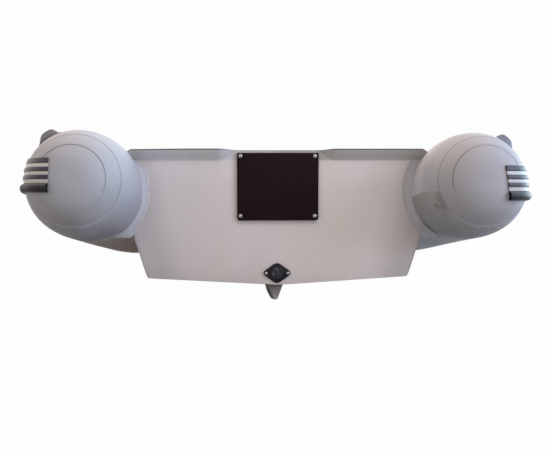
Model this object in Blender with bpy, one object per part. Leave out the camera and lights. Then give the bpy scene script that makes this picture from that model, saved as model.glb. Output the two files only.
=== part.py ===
"""Small rigid inflatable boat: a glass-fibre vee hull and transom inside a horseshoe of inflated tube.

Lengths are in metres. X runs to starboard, Y runs forward and Z runs up.
Every piece is drawn from the keel line at the foot of the transom, and one empty then
carries the whole boat so that its origin lies in the water plane, amidships.
"""

import math

import bmesh
import bpy
from mathutils import Matrix, Vector

# Where the origin lies
FLOAT_CENTRE = 1.00  # from the foot of the transom forward to the origin
DRAUGHT = 0.10  # from the keel line up to the water plane

# Buoyancy tube
TUBE_RADIUS = 0.169
TUBE_SPREAD = 0.611  # boat's centre plane to the tube's axis
TUBE_AXIS_HEIGHT = 0.309
SHEER_START = 0.70
SHEER_RISE = 0.160
SHEER_POWER = 1.8
BOW_START = 1.15  # the axis is straight up to here, and then a quarter ellipse
BOW_REACH = 0.94
BOW_SEAM = math.radians(14)  # turn of the ellipse where the bow chamber begins
TUBE_SIDES = 36
BOW_STEPS = 9
FIT_GAP = 0.0004  # left between pieces that touch

# Domed tube ends, behind the transom
DOME_START = -0.063
DOME_LENGTH = 0.331
DOME_POWER = 3.0
DOME_BLUNTNESS = 0.375
DOME_DROOP = 0.0065
DOME_STATIONS = (0.06, 0.12, 0.17, 0.21, 0.250, 0.280, 0.300, 0.317, 0.327)
DOME_TIP = 0.3305

# Transom
RAKE = math.radians(10)
TRANSOM_THICKNESS = 0.040
TRANSOM_TOP = 0.433
CHINE_X = 0.430
CHINE_Z = 0.0236
FLARE = 0.31  # sideways run of the hull side for each metre of height
CHINE_ROUND = 0.014
LIP_REACH = 0.040
LIP_DEPTH = 0.032
LIP_START = 0.128
LIP_FULL = 0.195
LIP_CORNER = 0.474
LIP_CORNER_FALL = 0.70
LIP_CROWN = 0.2  # share of the lip's depth, and half of it of its reach, that rounds its edge
TRANSOM_PLACES = (0.0, 0.12, LIP_START, 0.145, 0.160, 0.175, LIP_FULL, 0.30, 0.395, 0.404, 0.410,
                  0.415, 0.419, 0.424, 0.432, 0.455, LIP_CORNER, 0.510)  # sections, out from amidships

# Fabric strips in the corner between the transom and each tube
COLLAR_FIRST = math.radians(153)
COLLAR_LAST = math.radians(226)
COLLAR_STEPS = 9
# The strip's section, as distance off the tube's skin and distance aft of the transom
COLLAR_SECTION = ((0.0010, 0.0008), (0.0280, 0.0008), (0.0275, 0.0024),
                  (0.0085, 0.0045), (0.0030, 0.0105), (0.0010, 0.0105))

# Hull and inner moulding
SOLE_HEIGHT = 0.100
SOLE_RISE = 0.020  # for each metre forward
SOLE_THICKNESS = 0.020
HULL_STATIONS = (0.30, 0.60, 0.90, 1.15, 1.30, 1.45, 1.60, 1.75, 1.88, 1.98, 2.05)
LINER_STATIONS = HULL_STATIONS[:9]
KEEL_RISE = 0.30
KEEL_POWER = 2.2
HULL_REACH = 2.08
CHINE_RISE = 0.27
RAIL_START = 0.60
RAIL_HEIGHT = 0.006

# Section points of the hull and the inner moulding, as distance out from the centre plane
HULL_SHOULDER = (0.470, 0.155)
HULL_FLANGE = (0.517, 0.210)
HULL_INNER_TOP = (0.4536, 0.220)
HULL_INNER_FOOT = 0.4156
SIDE_OUTER = (0.4530, 0.4150)
SIDE_RIM = (0.4650, 0.4300, 0.268)
SOLE_EDGE = (0.4120, 0.3960)  # underside and top
SIDE_STANDOFF = 0.0005

# Skeg under the keel
SKEG_AFT = 0.045
SKEG_FORE = 1.14
SKEG_DEPTH = 0.0515
SKEG_SHIFT = -0.008
SKEG_TOP_HALF = 0.028
SKEG_FOOT_HALF = 0.0085
SKEG_STATIONS = ((0.0, 1.0), (0.25, 1.0), (0.6, 0.72), (0.85, 0.45), (1.0, 0.22))  # way forward, share

# Outboard motor pads
PAD_WIDTH = 0.264
PAD_BOTTOM = 0.210
PAD_TOP = 0.427
PAD_THICKNESS = 0.010
PAD_CORNER = 0.009
INNER_PAD_BOTTOM = 0.250

# Drain
DRAIN_HEIGHT = 0.0362
DRAIN_HALF_WIDTH = 0.0450
DRAIN_HALF_HEIGHT = 0.0300
DRAIN_EAR_RADIUS = 0.0110
DRAIN_WAIST_RADIUS = 0.020
DRAIN_OVERSHOOT = (1.16, 1.26)  # the lozenge's corners lie this much further out before rounding
DRAIN_THICKNESS = 0.007
DRAIN_BORE = 0.0205
DRAIN_PLUG_FACE = 0.0035

# Rubbing strake, by height above or below the tube's axis and stand-off from its skin
STRAKE_TOP = 0.068
STRAKE_SEAT = 0.0006
STRAKE_BASE = 0.0028
STRAKE_RIB = 0.0060
RIB_HEIGHTS = (0.0600, 0.0340, 0.0110)
RIB_HALF_HEIGHT = 0.0065
ROLL_HEIGHT = -0.0205
ROLL_RADIUS = 0.0140
ROLL_STAND_OFF = 0.0075
STRAKE_SKEW = 0.012  # the port strake sits this much higher at the stern, the other lower
STRAKE_FALL = 0.0045  # how far both strakes come down along the tubes
STRAKE_DIP = 0.013  # how far they come down further on their way round the domes
STRAKE_DIP_POWER = 2.5
STRAKE_END_PORT = 0.060  # how far outboard of the dome's axis the strake stops
STRAKE_END_STARBOARD = 0.047

PATCH_SEAT = 0.0006  # from the tube's skin up to the underside of a pad glued on it

# Moulded rubber handles: side -1 is port, way along, angle up from outboard
HANDLES = (
    ("grab_handle_aft_port", -1, -0.11, 56),
    ("grab_handle_aft_starboard", 1, -0.11, 51),
    ("grab_handle_fore_port", -1, 1.08, 60),
    ("grab_handle_fore_starboard", 1, 1.08, 60),
    ("grab_handle_bow", 1, BOW_START + math.pi / 2, 75),
)
HANDLE_HALF_WIDTH = 0.025
HANDLE_PAD_HALF_LENGTH = 0.115
HANDLE_PAD_HALF_WIDTH = 0.044
HANDLE_PAD_THICKNESS = 0.0045
# The strap's side view, as way along and height above the skin
HANDLE_OUTER = ((-0.098, 0.002), (-0.090, 0.009), (-0.062, 0.025), (-0.050, 0.029))
HANDLE_INNER = ((-0.072, 0.002), (-0.050, 0.017), (-0.042, 0.020))
HANDLE_EDGES = ((-1.0, 0.0012), (-0.8, 0.0), (0.0, 0.0), (0.8, 0.0), (1.0, 0.0012))  # share, inset
HANDLE_CROWN = 0.012  # the strap's edges are eased above this height

# Rowing gear and thwart
OARLOCK_WAY = 0.93
OARLOCK_PAD_RADIUS = 0.058
OARLOCK_PAD_THICKNESS = 0.006
OARLOCK_SEAT = 0.0025  # height at which the boss starts inside the pad
OARLOCK_BOSS_RADIUS = 0.020
OARLOCK_BOSS_HEIGHT = 0.023
OARLOCK_BORE = 0.0068
OARLOCK_PIN = 0.0065
OARLOCK_GAP = 0.026  # inside half width of the fork
OARLOCK_RISE = 0.070
FORK_COLLAR_RADIUS = 0.016
FORK_COLLAR_HEIGHT = 0.008
FORK_THICKNESS = 0.010
FORK_HALF_DEPTH = 0.009
THWART_AFT = 0.52
THWART_FORE = 0.74
THWART_HALF_LENGTH = 0.530
THWART_BOTTOM = 0.465
THWART_THICKNESS = 0.024
THWART_CORNER = 0.030
THWART_EDGE = 0.005
CHOCK_SPAN = (0.450, 0.525)  # from the centre plane outboard
CHOCK_INSET = 0.015
CHOCK_CORNER = 0.012
CHOCK_DEPTH = 0.050

# Bow locker, as way forward and half width
LOCKER_PLAN = ((1.43, 0.42), (1.60, 0.40), (1.74, 0.33), (1.86, 0.24))
LOCKER_MOUTH = ((1.475, 0.255), (1.745, 0.150))
LOCKER_TOP = 0.345
LOCKER_FLOOR = 0.210
LID_THICKNESS = 0.015
LID_OVERLAP = 0.014
LID_CORNER = 0.012
HINGE_WAY = 1.772
HINGE_HEIGHT = 0.365
HINGE_PLACES = (-0.085, 0.085)
KNUCKLE_RADIUS = 0.0055
KNUCKLE_LENGTH = 0.016
LEAF_LENGTH = 0.030
FOOT_SPAN = (-0.003, 0.005)  # the locker's hinge feet, fore and aft of the pin

# Inflation valves, lifting eyes and towing rings
VALVES = (("valve_port", -1, 0.33, 128), ("valve_starboard", 1, 0.33, 128),
          ("valve_bow", -1, BOW_START + math.radians(56), 132))
VALVE_RADIUS = 0.036
VALVE_THICKNESS = 0.0055
VALVE_CAP_RADIUS = 0.023
VALVE_CAP_SPAN = (0.003, 0.011)
LIFTING_EYE_X = 0.30
LIFTING_EYE_Y = 0.14
EYE_PLATE = (0.034, 0.012, 0.0035)  # half length, half width, thickness
EYE_PLATE_CORNER = 0.008
EYE_LEG = 0.012
EYE_RADIUS = 0.018
EYE_WIRE = 0.0045
BOW_EYE_BETWEEN = (1.75, 1.88)  # two of the hull's stations
TOW_TURN = BOW_START + math.radians(50)
TOW_ANGLE = math.radians(-34)
TOW_PATCH_RADIUS = 0.055
TOW_PATCH_THICKNESS = 0.0045
TOW_LUG = (0.017, 0.010, 0.004)  # half length, half width, corner
TOW_LUG_SPAN = (0.0012, 0.012)
TOW_RING_HALF = 0.020
TOW_RING_DROP = 0.012
TOW_RING_HEIGHT = 0.0075
TOW_RING_INSIDE = 0.008
TOW_RING_WIRE = 0.0032

COLOURS = {  # base colour, roughness, metallic
    "gelcoat": ((0.47, 0.43, 0.43), 0.35, 0.0),
    "liner": ((0.55, 0.53, 0.52), 0.45, 0.0),
    "tube_fabric": ((0.36, 0.36, 0.40), 0.55, 0.0),
    "band": ((0.42, 0.42, 0.41), 0.60, 0.0),
    "black_rubber": ((0.025, 0.026, 0.030), 0.55, 0.0),
    "grey_rubber": ((0.11, 0.10, 0.12), 0.60, 0.0),
    "pad_plastic": ((0.014, 0.009, 0.010), 0.45, 0.0),
    "black_plastic": ((0.012, 0.012, 0.014), 0.40, 0.0),
    "steel": ((0.62, 0.62, 0.63), 0.22, 1.0),
}


def clear_scene():
    for obj in list(bpy.data.objects):
        bpy.data.objects.remove(obj, do_unlink=True)


def make_material(name):
    colour, roughness, metallic = COLOURS[name]
    material = bpy.data.materials.get(name)
    if material:
        return material
    material = bpy.data.materials.new(name)
    material.use_nodes = True
    shader = material.node_tree.nodes["Principled BSDF"]
    shader.inputs["Base Color"].default_value = (*colour, 1.0)
    shader.inputs["Roughness"].default_value = roughness
    shader.inputs["Metallic"].default_value = metallic
    material.diffuse_color = (*colour, 1.0)
    return material


def add_object(name, mesh_data, material, parent, at=(0, 0, 0)):
    """Adds the bmesh as a named object whose origin is at the given point of its parent."""
    bmesh.ops.recalc_face_normals(mesh_data, faces=mesh_data.faces)
    bmesh.ops.translate(mesh_data, verts=mesh_data.verts, vec=-Vector(at))
    mesh = bpy.data.meshes.new(name)
    mesh_data.to_mesh(mesh)
    mesh_data.free()
    mesh.shade_smooth()
    mesh.set_sharp_from_angle(angle=math.radians(32))
    mesh.materials.append(make_material(material))
    obj = bpy.data.objects.new(name, mesh)
    bpy.context.scene.collection.objects.link(obj)
    obj.parent = parent
    obj.location = at
    return obj


def loft_mesh(rings):
    """One closed body through rings of equally many points, with flat ends."""
    body = bmesh.new()
    rows = [[body.verts.new(point) for point in ring] for ring in rings]
    count = len(rows[0])
    for row, after in zip(rows, rows[1:]):
        for k in range(count):
            nxt = (k + 1) % count
            body.faces.new((row[k], row[nxt], after[nxt], after[k]))
    body.faces.new(rows[0][::-1])
    body.faces.new(rows[-1])
    return body


def prism_mesh(outline, low, high, matrix):
    """The outline, in the matrix's own X and Y, drawn out along its Z from low to high."""
    return loft_mesh([[matrix @ Vector((x, y, z)) for x, y in outline] for z in (low, high)])


def helper(name, mesh_data, parent):
    """A cutter or an addition that only a Boolean reads."""
    obj = add_object(name, mesh_data, "gelcoat", parent)
    obj.hide_render = True
    obj.display_type = "WIRE"
    return obj


def boolean(obj, other, operation="DIFFERENCE"):
    modifier = obj.modifiers.new(f"{operation.lower()} {other.name}", "BOOLEAN")
    modifier.operation = operation
    modifier.solver = "EXACT"
    modifier.object = other
    return obj


def rounded_outline(corners, steps=4):
    """Outline through (x, y, radius) corners, each rounded by an arc."""
    outline = []
    count = len(corners)
    for k, (x, y, radius) in enumerate(corners):
        here = Vector((x, y))
        before = (Vector(corners[k - 1][:2]) - here).normalized()
        after = (Vector(corners[(k + 1) % count][:2]) - here).normalized()
        half = before.angle(after) / 2
        centre = here + (before + after).normalized() * (radius / math.sin(half))
        first = here + before * (radius / math.tan(half)) - centre
        last = here + after * (radius / math.tan(half)) - centre
        turn = first.angle_signed(last)
        for step in range(steps + 1):
            arm = first.copy()
            arm.rotate(Matrix.Rotation(-turn * step / steps, 2))
            outline.append(tuple(centre + arm))
    return outline


def rounded_rectangle(half_length, half_width, corner):
    return rounded_outline([(-half_length, -half_width, corner), (half_length, -half_width, corner),
                            (half_length, half_width, corner), (-half_length, half_width, corner)], 3)


def circle_outline(radius, sides=20, centre=(0, 0)):
    turns = [2 * math.pi * k / sides for k in range(sides)]
    return [(centre[0] + radius * math.cos(t), centre[1] + radius * math.sin(t)) for t in turns]


# The tube's axis and skin

def axis_height(y):
    way = max(0.0, y - SHEER_START) / (BOW_START + BOW_REACH - SHEER_START)
    return TUBE_AXIS_HEIGHT + SHEER_RISE * way**SHEER_POWER


def dome_radius(aft):
    share = min(max(aft / DOME_LENGTH, 0.0), 1.0)
    return TUBE_RADIUS * (1 - share**DOME_POWER) ** DOME_BLUNTNESS


def dome_aft(radius):
    share = min(radius / TUBE_RADIUS, 1.0)
    return DOME_LENGTH * (1 - share ** (1 / DOME_BLUNTNESS)) ** (1 / DOME_POWER)


def dome_droop(aft):
    return DOME_DROOP * min(max(aft / DOME_LENGTH, 0.0), 1.0) ** 2


def station(side, way):
    """Centre, outboard direction and radius of the tube at a way along its axis.

    Up to BOW_START the way is Y itself. Past it, it is BOW_START plus the turn of the ellipse.
    """
    if way <= BOW_START:
        aft = max(0.0, DOME_START - way)
        centre = Vector((side * TUBE_SPREAD, way, axis_height(way) - dome_droop(aft)))
        return centre, Vector((side, 0, 0)), dome_radius(aft)
    turn = way - BOW_START
    y = BOW_START + BOW_REACH * math.sin(turn)
    centre = Vector((side * TUBE_SPREAD * math.cos(turn), y, axis_height(y)))
    outward = Vector((side * BOW_REACH * math.cos(turn), TUBE_SPREAD * math.sin(turn), 0))
    return centre, outward.normalized(), TUBE_RADIUS


def skin_point(side, way, angle, height=0.0):
    """Point at a height above the skin. The angle is turned up from outboard, in radians."""
    centre, outward, radius = station(side, way)
    arm = outward * math.cos(angle) + Vector((0, 0, 1)) * math.sin(angle)
    return centre + arm * (radius + height)


def tube_ring(side, way, extra=0.0):
    turns = [2 * math.pi * k / TUBE_SIDES for k in range(TUBE_SIDES)]
    return [skin_point(side, way, turn, extra) for turn in turns]


def dome_ways():
    return [DOME_START - aft for aft in (DOME_TIP, *reversed(DOME_STATIONS))]


def side_ways():
    return [DOME_START, 0.35, 0.70, 0.93, BOW_START]


def bow_ways():
    turn = (math.pi / 2 - BOW_SEAM) / BOW_STEPS
    return [BOW_START + BOW_SEAM + turn * k for k in range(BOW_STEPS + 1)]


def whole_tube_rings(extra):
    """Rings from the port dome round the bow to the starboard dome."""
    half = [*dome_ways(), *side_ways(), BOW_START + BOW_SEAM / 2, *bow_ways()]
    port = [tube_ring(-1, way, extra) for way in half]
    starboard = [tube_ring(1, way, extra) for way in half[:-1]]
    return port + starboard[::-1]


def build_tubes(boat):
    """Three air chambers and two domes, butted at their seams."""
    gap = FIT_GAP / 2
    for name, side in (("port", -1), ("starboard", 1)):
        ways = [*side_ways(), BOW_START + BOW_SEAM / 2, BOW_START + BOW_SEAM]
        ways[0] += gap
        ways[-1] -= gap / TUBE_SPREAD
        add_object(f"tube_{name}", loft_mesh([tube_ring(side, way) for way in ways]),
                   "tube_fabric", boat)
        ways = [*dome_ways(), DOME_START - gap]
        add_object(f"tube_end_{name}", loft_mesh([tube_ring(side, way) for way in ways]),
                   "tube_fabric", boat)
    half = bow_ways()
    half[0] += gap / TUBE_SPREAD
    rings = [tube_ring(-1, way) for way in half]
    rings += [tube_ring(1, way) for way in reversed(half[:-1])]
    add_object("tube_bow", loft_mesh(rings), "tube_fabric", boat)


# Hull, transom and inner moulding

def transom_aft(z):
    return -z * math.tan(RAKE)


def transom_fore(z):
    return transom_aft(z) + TRANSOM_THICKNESS / math.cos(RAKE)


def transom_bottom(x):
    """Height of the transom's lower edge: a shallow vee, a rounded chine and a flared side."""
    reach = abs(x)
    vee = CHINE_Z * reach / CHINE_X
    side = CHINE_Z + (reach - CHINE_X) / FLARE
    if reach < CHINE_X - CHINE_ROUND:
        return vee
    blend = CHINE_ROUND / 2
    return math.log(math.exp(vee / blend) + math.exp(side / blend)) * blend


def lip_share(x):
    share = (abs(x) - LIP_START) / (LIP_FULL - LIP_START)
    share = min(max(share, 0.02), 1.0)
    return share * share * (3 - 2 * share) + 0.02


def build_transom(boat, tube_cutter):
    rings = []
    for x in [-p for p in reversed(TRANSOM_PLACES[1:])] + [*TRANSOM_PLACES]:
        low = transom_bottom(x)
        share = lip_share(x)
        top = TRANSOM_TOP - LIP_CORNER_FALL * max(0.0, abs(x) - LIP_CORNER)
        under = top - LIP_DEPTH * share
        edge = top - LIP_CROWN * LIP_DEPTH * share
        reach = LIP_REACH * share
        profile = [
            (transom_fore(low), low),
            (transom_aft(low), low),
            (transom_aft(under), under),
            (transom_aft(edge) - reach, edge),
            (transom_aft(top) - reach * (1 - LIP_CROWN / 2), top),
            (transom_fore(top), top),
        ]
        rings.append([Vector((x, y, z)) for y, z in profile])
    boolean(add_object("transom", loft_mesh(rings), "gelcoat", boat), tube_cutter)


def keel_height(y):
    way = max(0.0, y - BOW_START) / (HULL_REACH - BOW_START)
    return KEEL_RISE * way**KEEL_POWER


def chine_height(y):
    return CHINE_Z + CHINE_RISE * (max(y, 0.0) / HULL_REACH) ** 2


def plan_share(y):
    """How wide the boat is at Y, as a share of its width at the stern."""
    way = max(0.0, y - BOW_START) / BOW_REACH
    return math.sqrt(max(1e-4, 1 - way * way))


def sole_height(y):
    return SOLE_HEIGHT + SOLE_RISE * y


def deck_edge(y):
    """Height where the inner moulding leaves the hull's side."""
    return max(sole_height(y) - SOLE_THICKNESS, chine_height(y) + 0.0045)


def deck_middle(y):
    return max(sole_height(y) - SOLE_THICKNESS, keel_height(y) + 0.0305)


def sheer_rise(y):
    return axis_height(y) - TUBE_AXIS_HEIGHT


def hull_half(y):
    """Starboard half of a hull section from the keel outwards, over the top and back."""
    share, sheer = plan_share(y), sheer_rise(y)
    keel, chine = keel_height(y), chine_height(y)
    rail = RAIL_HEIGHT * min(1.0, max(0.0, (y - RAIL_START) / 0.2))
    half_width = CHINE_X * share
    bottom = [(part, keel + (chine - keel) * part) for part in (0.0, 0.50, 0.56, 0.575, 1.0)]
    bottom[2] = (bottom[2][0], bottom[2][1] - rail)
    points = [(part * half_width, z) for part, z in bottom]
    return points + [
        (HULL_SHOULDER[0] * share, HULL_SHOULDER[1] + sheer),
        (HULL_FLANGE[0] * share, HULL_SHOULDER[1] + sheer),
        (HULL_FLANGE[0] * share, HULL_FLANGE[1] + sheer),
        (HULL_INNER_TOP[0] * share, HULL_INNER_TOP[1] + sheer),
        (HULL_INNER_FOOT * share, deck_edge(y) - FIT_GAP),
        (0.0, deck_middle(y) - FIT_GAP),
    ]


def sole_top(y):
    """Heights of the sole's upper side at its edge and amidships."""
    floor = sole_height(y)
    return max(floor, deck_edge(y) + SOLE_THICKNESS), max(floor, deck_middle(y) + SOLE_THICKNESS)


def sole_half(y):
    """Starboard half of the sole's section, from its underside amidships out and back."""
    share = plan_share(y)
    edge, middle = sole_top(y)
    return [(0.0, deck_middle(y)), (SOLE_EDGE[0] * share, deck_edge(y)),
            (SOLE_EDGE[1] * share, edge), (0.0, middle)]


def side_section(y):
    """The inner moulding's starboard side, from the sole's edge up behind the rim and back."""
    share, sheer = plan_share(y), sheer_rise(y)
    return [
        ((SOLE_EDGE[0] + SIDE_STANDOFF) * share, deck_edge(y)),
        (SIDE_OUTER[1] * share, deck_edge(y)),
        (SIDE_OUTER[0] * share, HULL_INNER_TOP[1] + sheer),
        (SIDE_RIM[0] * share, SIDE_RIM[2] + sheer),
        (SIDE_RIM[1] * share, SIDE_RIM[2] + sheer),
        ((SOLE_EDGE[1] + SIDE_STANDOFF) * share, sole_top(y)[0]),
    ]


def under_liner_half(y):
    """All that lies under and outside the inner moulding's seen side, and a gap above it."""
    share, rim = plan_share(y), SIDE_RIM[2] + sheer_rise(y)
    edge, middle = sole_top(y)
    return [
        (0.0, -0.10),
        (0.55 * share, -0.10),
        (0.55 * share, rim),
        (SIDE_RIM[1] * share - 2 * FIT_GAP, rim),
        (SOLE_EDGE[1] * share - 2 * FIT_GAP, edge + FIT_GAP),
        (0.0, middle + FIT_GAP),
    ]


def section_ring(half, y_of):
    """A whole section from its starboard half, whose first and last points lie amidships."""
    ring = [Vector((x, y_of(z), z)) for x, z in half]
    return ring + [Vector((-p.x, p.y, p.z)) for p in reversed(ring[1:-1])]


def panel_loft(rings):
    """Body through sections, with every panel split from its outer aft corner inwards."""
    body = bmesh.new()
    rows = [[body.verts.new(point) for point in ring] for ring in rings]
    count = len(rows[0])
    for row, after in zip(rows, rows[1:]):
        for k in range(count):
            nxt = (k + 1) % count
            if abs(row[k].co.x) > abs(row[nxt].co.x):
                body.faces.new((row[k], row[nxt], after[nxt]))
                body.faces.new((row[k], after[nxt], after[k]))
            else:
                body.faces.new((row[k], row[nxt], after[k]))
                body.faces.new((row[nxt], after[nxt], after[k]))
    body.faces.new(rows[0][::-1])
    body.faces.new(rows[-1])
    return body


def section_rings(section_of, stations, ring_of=section_ring):
    """The section against the raked transom and then one at each station."""
    aft = transom_fore(0.0) + FIT_GAP
    rings = [ring_of(section_of(aft), lambda z: transom_fore(z) + FIT_GAP)]
    return rings + [ring_of(section_of(y), lambda z, y=y: y) for y in stations]


def build_hull(boat, tube_cutter):
    body = panel_loft(section_rings(hull_half, HULL_STATIONS))
    boolean(add_object("hull", body, "gelcoat", boat), tube_cutter)
    body = panel_loft(section_rings(sole_half, LINER_STATIONS))
    add_object("sole", body, "liner", boat)
    for name, side in (("port", -1), ("starboard", 1)):
        def ring_of(section, y_of, side=side):
            return [Vector((side * x, y_of(z), z)) for x, z in section]
        body = panel_loft(section_rings(side_section, LINER_STATIONS, ring_of))
        boolean(add_object(f"cockpit_side_{name}", body, "liner", boat), tube_cutter)


def build_skeg(boat):
    rings = []
    for way, share in SKEG_STATIONS:
        y = SKEG_AFT + (SKEG_FORE - SKEG_AFT) * way
        top = keel_height(y) - 2 * FIT_GAP
        bottom = top - SKEG_DEPTH * share
        upper, lower = SKEG_TOP_HALF * share, SKEG_FOOT_HALF * (0.6 + 0.4 * share)
        outline = rounded_outline([(-upper, top, 0.001), (upper, top, 0.001),
                                   (lower, bottom, 0.004), (-lower, bottom, 0.004)], 3)
        rings.append([Vector((SKEG_SHIFT + x, y, z)) for x, z in outline])
    add_object("skeg", loft_mesh(rings), "gelcoat", boat)


def transom_face(fore=False):
    """Matrix of the raked face: X athwartships, Y up the slope and Z out of the face."""
    up = Vector((0, -math.sin(RAKE), math.cos(RAKE)))
    out = Vector((0, -math.cos(RAKE), -math.sin(RAKE)))
    across = up.cross(out)
    matrix = Matrix((across, up, out)).transposed().to_4x4()
    if fore:
        flip = Matrix.Rotation(math.pi, 4, "Y")
        matrix = Matrix.Translation(-out * TRANSOM_THICKNESS) @ matrix @ flip
    return matrix


def build_motor_pads(boat):
    half = PAD_WIDTH / 2
    for name, fore, bottom in (("motor_pad_outer", False, PAD_BOTTOM),
                               ("motor_pad_inner", True, INNER_PAD_BOTTOM)):
        low, high = (z / math.cos(RAKE) for z in (bottom, PAD_TOP))
        corners = [(-half, low, PAD_CORNER), (half, low, PAD_CORNER),
                   (half, high, PAD_CORNER / 3), (-half, high, PAD_CORNER / 3)]
        body = prism_mesh(rounded_outline(corners), FIT_GAP, PAD_THICKNESS, transom_face(fore))
        add_object(name, body, "pad_plastic", boat)


def build_drain(boat):
    """A lozenge flange on the transom with a round mouth, and the plug screwed into it."""
    height = DRAIN_HEIGHT / math.cos(RAKE)
    half_width = DRAIN_HALF_WIDTH * DRAIN_OVERSHOOT[0]
    half_height = DRAIN_HALF_HEIGHT * DRAIN_OVERSHOOT[1]
    corners = [(-half_width, height, DRAIN_EAR_RADIUS), (0, height - half_height, DRAIN_WAIST_RADIUS),
               (half_width, height, DRAIN_EAR_RADIUS), (0, height + half_height, DRAIN_WAIST_RADIUS)]
    face = transom_face()
    flange = add_object("drain_flange", prism_mesh(rounded_outline(corners, 5), FIT_GAP,
                                                   DRAIN_THICKNESS, face), "black_plastic", boat)
    mouth = circle_outline(DRAIN_BORE, 24, (0, height))
    boolean(flange, helper("drain_cutter", prism_mesh(mouth, -0.01, 0.02, face), boat))
    plug = circle_outline(DRAIN_BORE - FIT_GAP, 24, (0, height))
    add_object("drain_plug", prism_mesh(plug, FIT_GAP, DRAIN_PLUG_FACE, face),
               "black_plastic", boat)


def build_collars(boat):
    """Fabric fillet strips glued in the corner between the transom and each tube."""
    for name, side in (("port", -1), ("starboard", 1)):
        rings = []
        for k in range(COLLAR_STEPS + 1):
            angle = COLLAR_FIRST + (COLLAR_LAST - COLLAR_FIRST) * k / COLLAR_STEPS
            ring = []
            for off, aft in COLLAR_SECTION:
                arm = Vector((side * math.cos(angle), 0, math.sin(angle)))
                spot = arm * (TUBE_RADIUS + off)
                z = TUBE_AXIS_HEIGHT + spot.z
                ring.append(Vector((side * TUBE_SPREAD + spot.x, transom_aft(z) - aft, z)))
            rings.append(ring)
        add_object(f"transom_collar_{name}", loft_mesh(rings), "tube_fabric", boat)


# Rubbing strake

def strake_spot(side, way, drop, height, squareness):
    """Point over the tube's skin at a height above its axis. Squareness turns the dome's
    stations from planes across the boat into planes along it, so that the end is cut square."""
    aft = max(0.0, DOME_START - way)
    fade = 1 - min(1.0, max(0.0, way - DOME_START) / BOW_START)
    drop -= (STRAKE_FALL + side * STRAKE_SKEW) * fade
    drop -= STRAKE_DIP * min(1.0, aft / DOME_LENGTH) ** STRAKE_DIP_POWER
    if aft == 0.0:
        return skin_point(side, way, math.asin(drop / TUBE_RADIUS), height)
    across = dome_radius(aft)
    square_aft = dome_aft(math.hypot(across, drop))
    aft += (square_aft - aft) * squareness
    step = 1e-4
    slope = (dome_radius(aft + step) - dome_radius(aft - step)) / (2 * step)
    length = math.hypot(1, slope)
    radius = dome_radius(aft)
    angle = math.asin(max(-1.0, min(1.0, drop / radius)))
    out = radius + height / length
    y = DOME_START - aft + height * slope / length
    centre_z = TUBE_AXIS_HEIGHT - dome_droop(aft)
    return Vector((side * (TUBE_SPREAD + out * math.cos(angle)), y, centre_z + out * math.sin(angle)))


def strake_ways(side):
    """Ways along the axis from the strake's stern end, each with its squareness."""
    last = dome_aft(STRAKE_END_PORT if side < 0 else STRAKE_END_STARBOARD)
    steps = 18
    stern = []
    for k in range(steps):
        share = math.sin(math.pi / 2 * (1 - k / steps))
        stern.append((DOME_START - last * share, min(1.0, max(0.0, (share - 0.55) / 0.42))))
    ahead = [*side_ways(), BOW_START + BOW_SEAM / 2, *bow_ways()]
    ahead[-1] -= FIT_GAP
    return stern + [(way, 0.0) for way in ahead]


def band_profile():
    """The band's outer side, as drop and stand-off: three ribs on a flat base."""
    points = [(STRAKE_TOP, STRAKE_BASE)]
    for centre in RIB_HEIGHTS:
        high, low = centre + RIB_HALF_HEIGHT, centre - RIB_HALF_HEIGHT
        points += [(high, STRAKE_BASE), (high - 0.0015, STRAKE_RIB),
                   (low + 0.0015, STRAKE_RIB), (low, STRAKE_BASE)]
    return points + [(ROLL_HEIGHT + ROLL_RADIUS + 0.0010, STRAKE_BASE)]


def roll_profile():
    """The heavy half-round roll under the band."""
    points = []
    for k in range(7):
        turn = math.radians(90 - 30 * k)
        drop = ROLL_HEIGHT + ROLL_RADIUS * math.sin(turn)
        points.append((drop, ROLL_STAND_OFF + ROLL_RADIUS * math.cos(turn)))
    return points


def build_strake(boat):
    for name, side in (("port", -1), ("starboard", 1)):
        for piece, profile, material in (("band", band_profile(), "band"),
                                         ("roll", roll_profile(), "black_rubber")):
            body = bmesh.new()
            rows = []
            for way, square in strake_ways(side):
                seat = [strake_spot(side, way, drop, STRAKE_SEAT, square) for drop, _ in profile]
                skin = [strake_spot(side, way, *spot, square) for spot in profile]
                rows.append([body.verts.new(spot) for spot in skin + seat[::-1]])
            count = len(rows[0])
            for row, after in zip(rows, rows[1:]):
                for k in range(count):
                    nxt = (k + 1) % count
                    body.faces.new((row[k], row[nxt], after[nxt], after[k]))
            for row in (rows[0], rows[-1]):
                for k in range(count // 2 - 1):
                    body.faces.new((row[k], row[k + 1], row[-k - 2], row[-k - 1]))
            add_object(f"rub_{piece}_{name}", body, material, boat)


# Fittings on the tube

def skin_patch_mesh(side, way, angle, half_long, half_wide, low, high, squareness=2.0, rings=3):
    """A curved pad on the skin, round or squarish in outline, between two heights."""
    step = 0.01
    run = (skin_point(side, way + step, angle) - skin_point(side, way - step, angle)).length
    per_way = 2 * step / run
    radius = station(side, way)[2]
    sides = 20

    def spot(share, turn, height):
        power = 2 / squareness
        along = math.copysign(abs(math.cos(turn)) ** power, math.cos(turn)) * half_long * share
        round_ = math.copysign(abs(math.sin(turn)) ** power, math.sin(turn)) * half_wide * share
        return skin_point(side, way + along * per_way, angle + round_ / radius, height)

    turns = [2 * math.pi * k / sides for k in range(sides)]
    shares = [(k + 1) / rings for k in range(rings)]
    layers = [[spot(share, turn, low) for turn in turns] for share in shares]
    layers += [[spot(share, turn, high) for turn in turns] for share in reversed(shares)]
    body = loft_mesh(layers)
    for face in [f for f in body.faces if len(f.verts) > 4]:
        bmesh.ops.poke(body, faces=[face])
    return body


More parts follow.
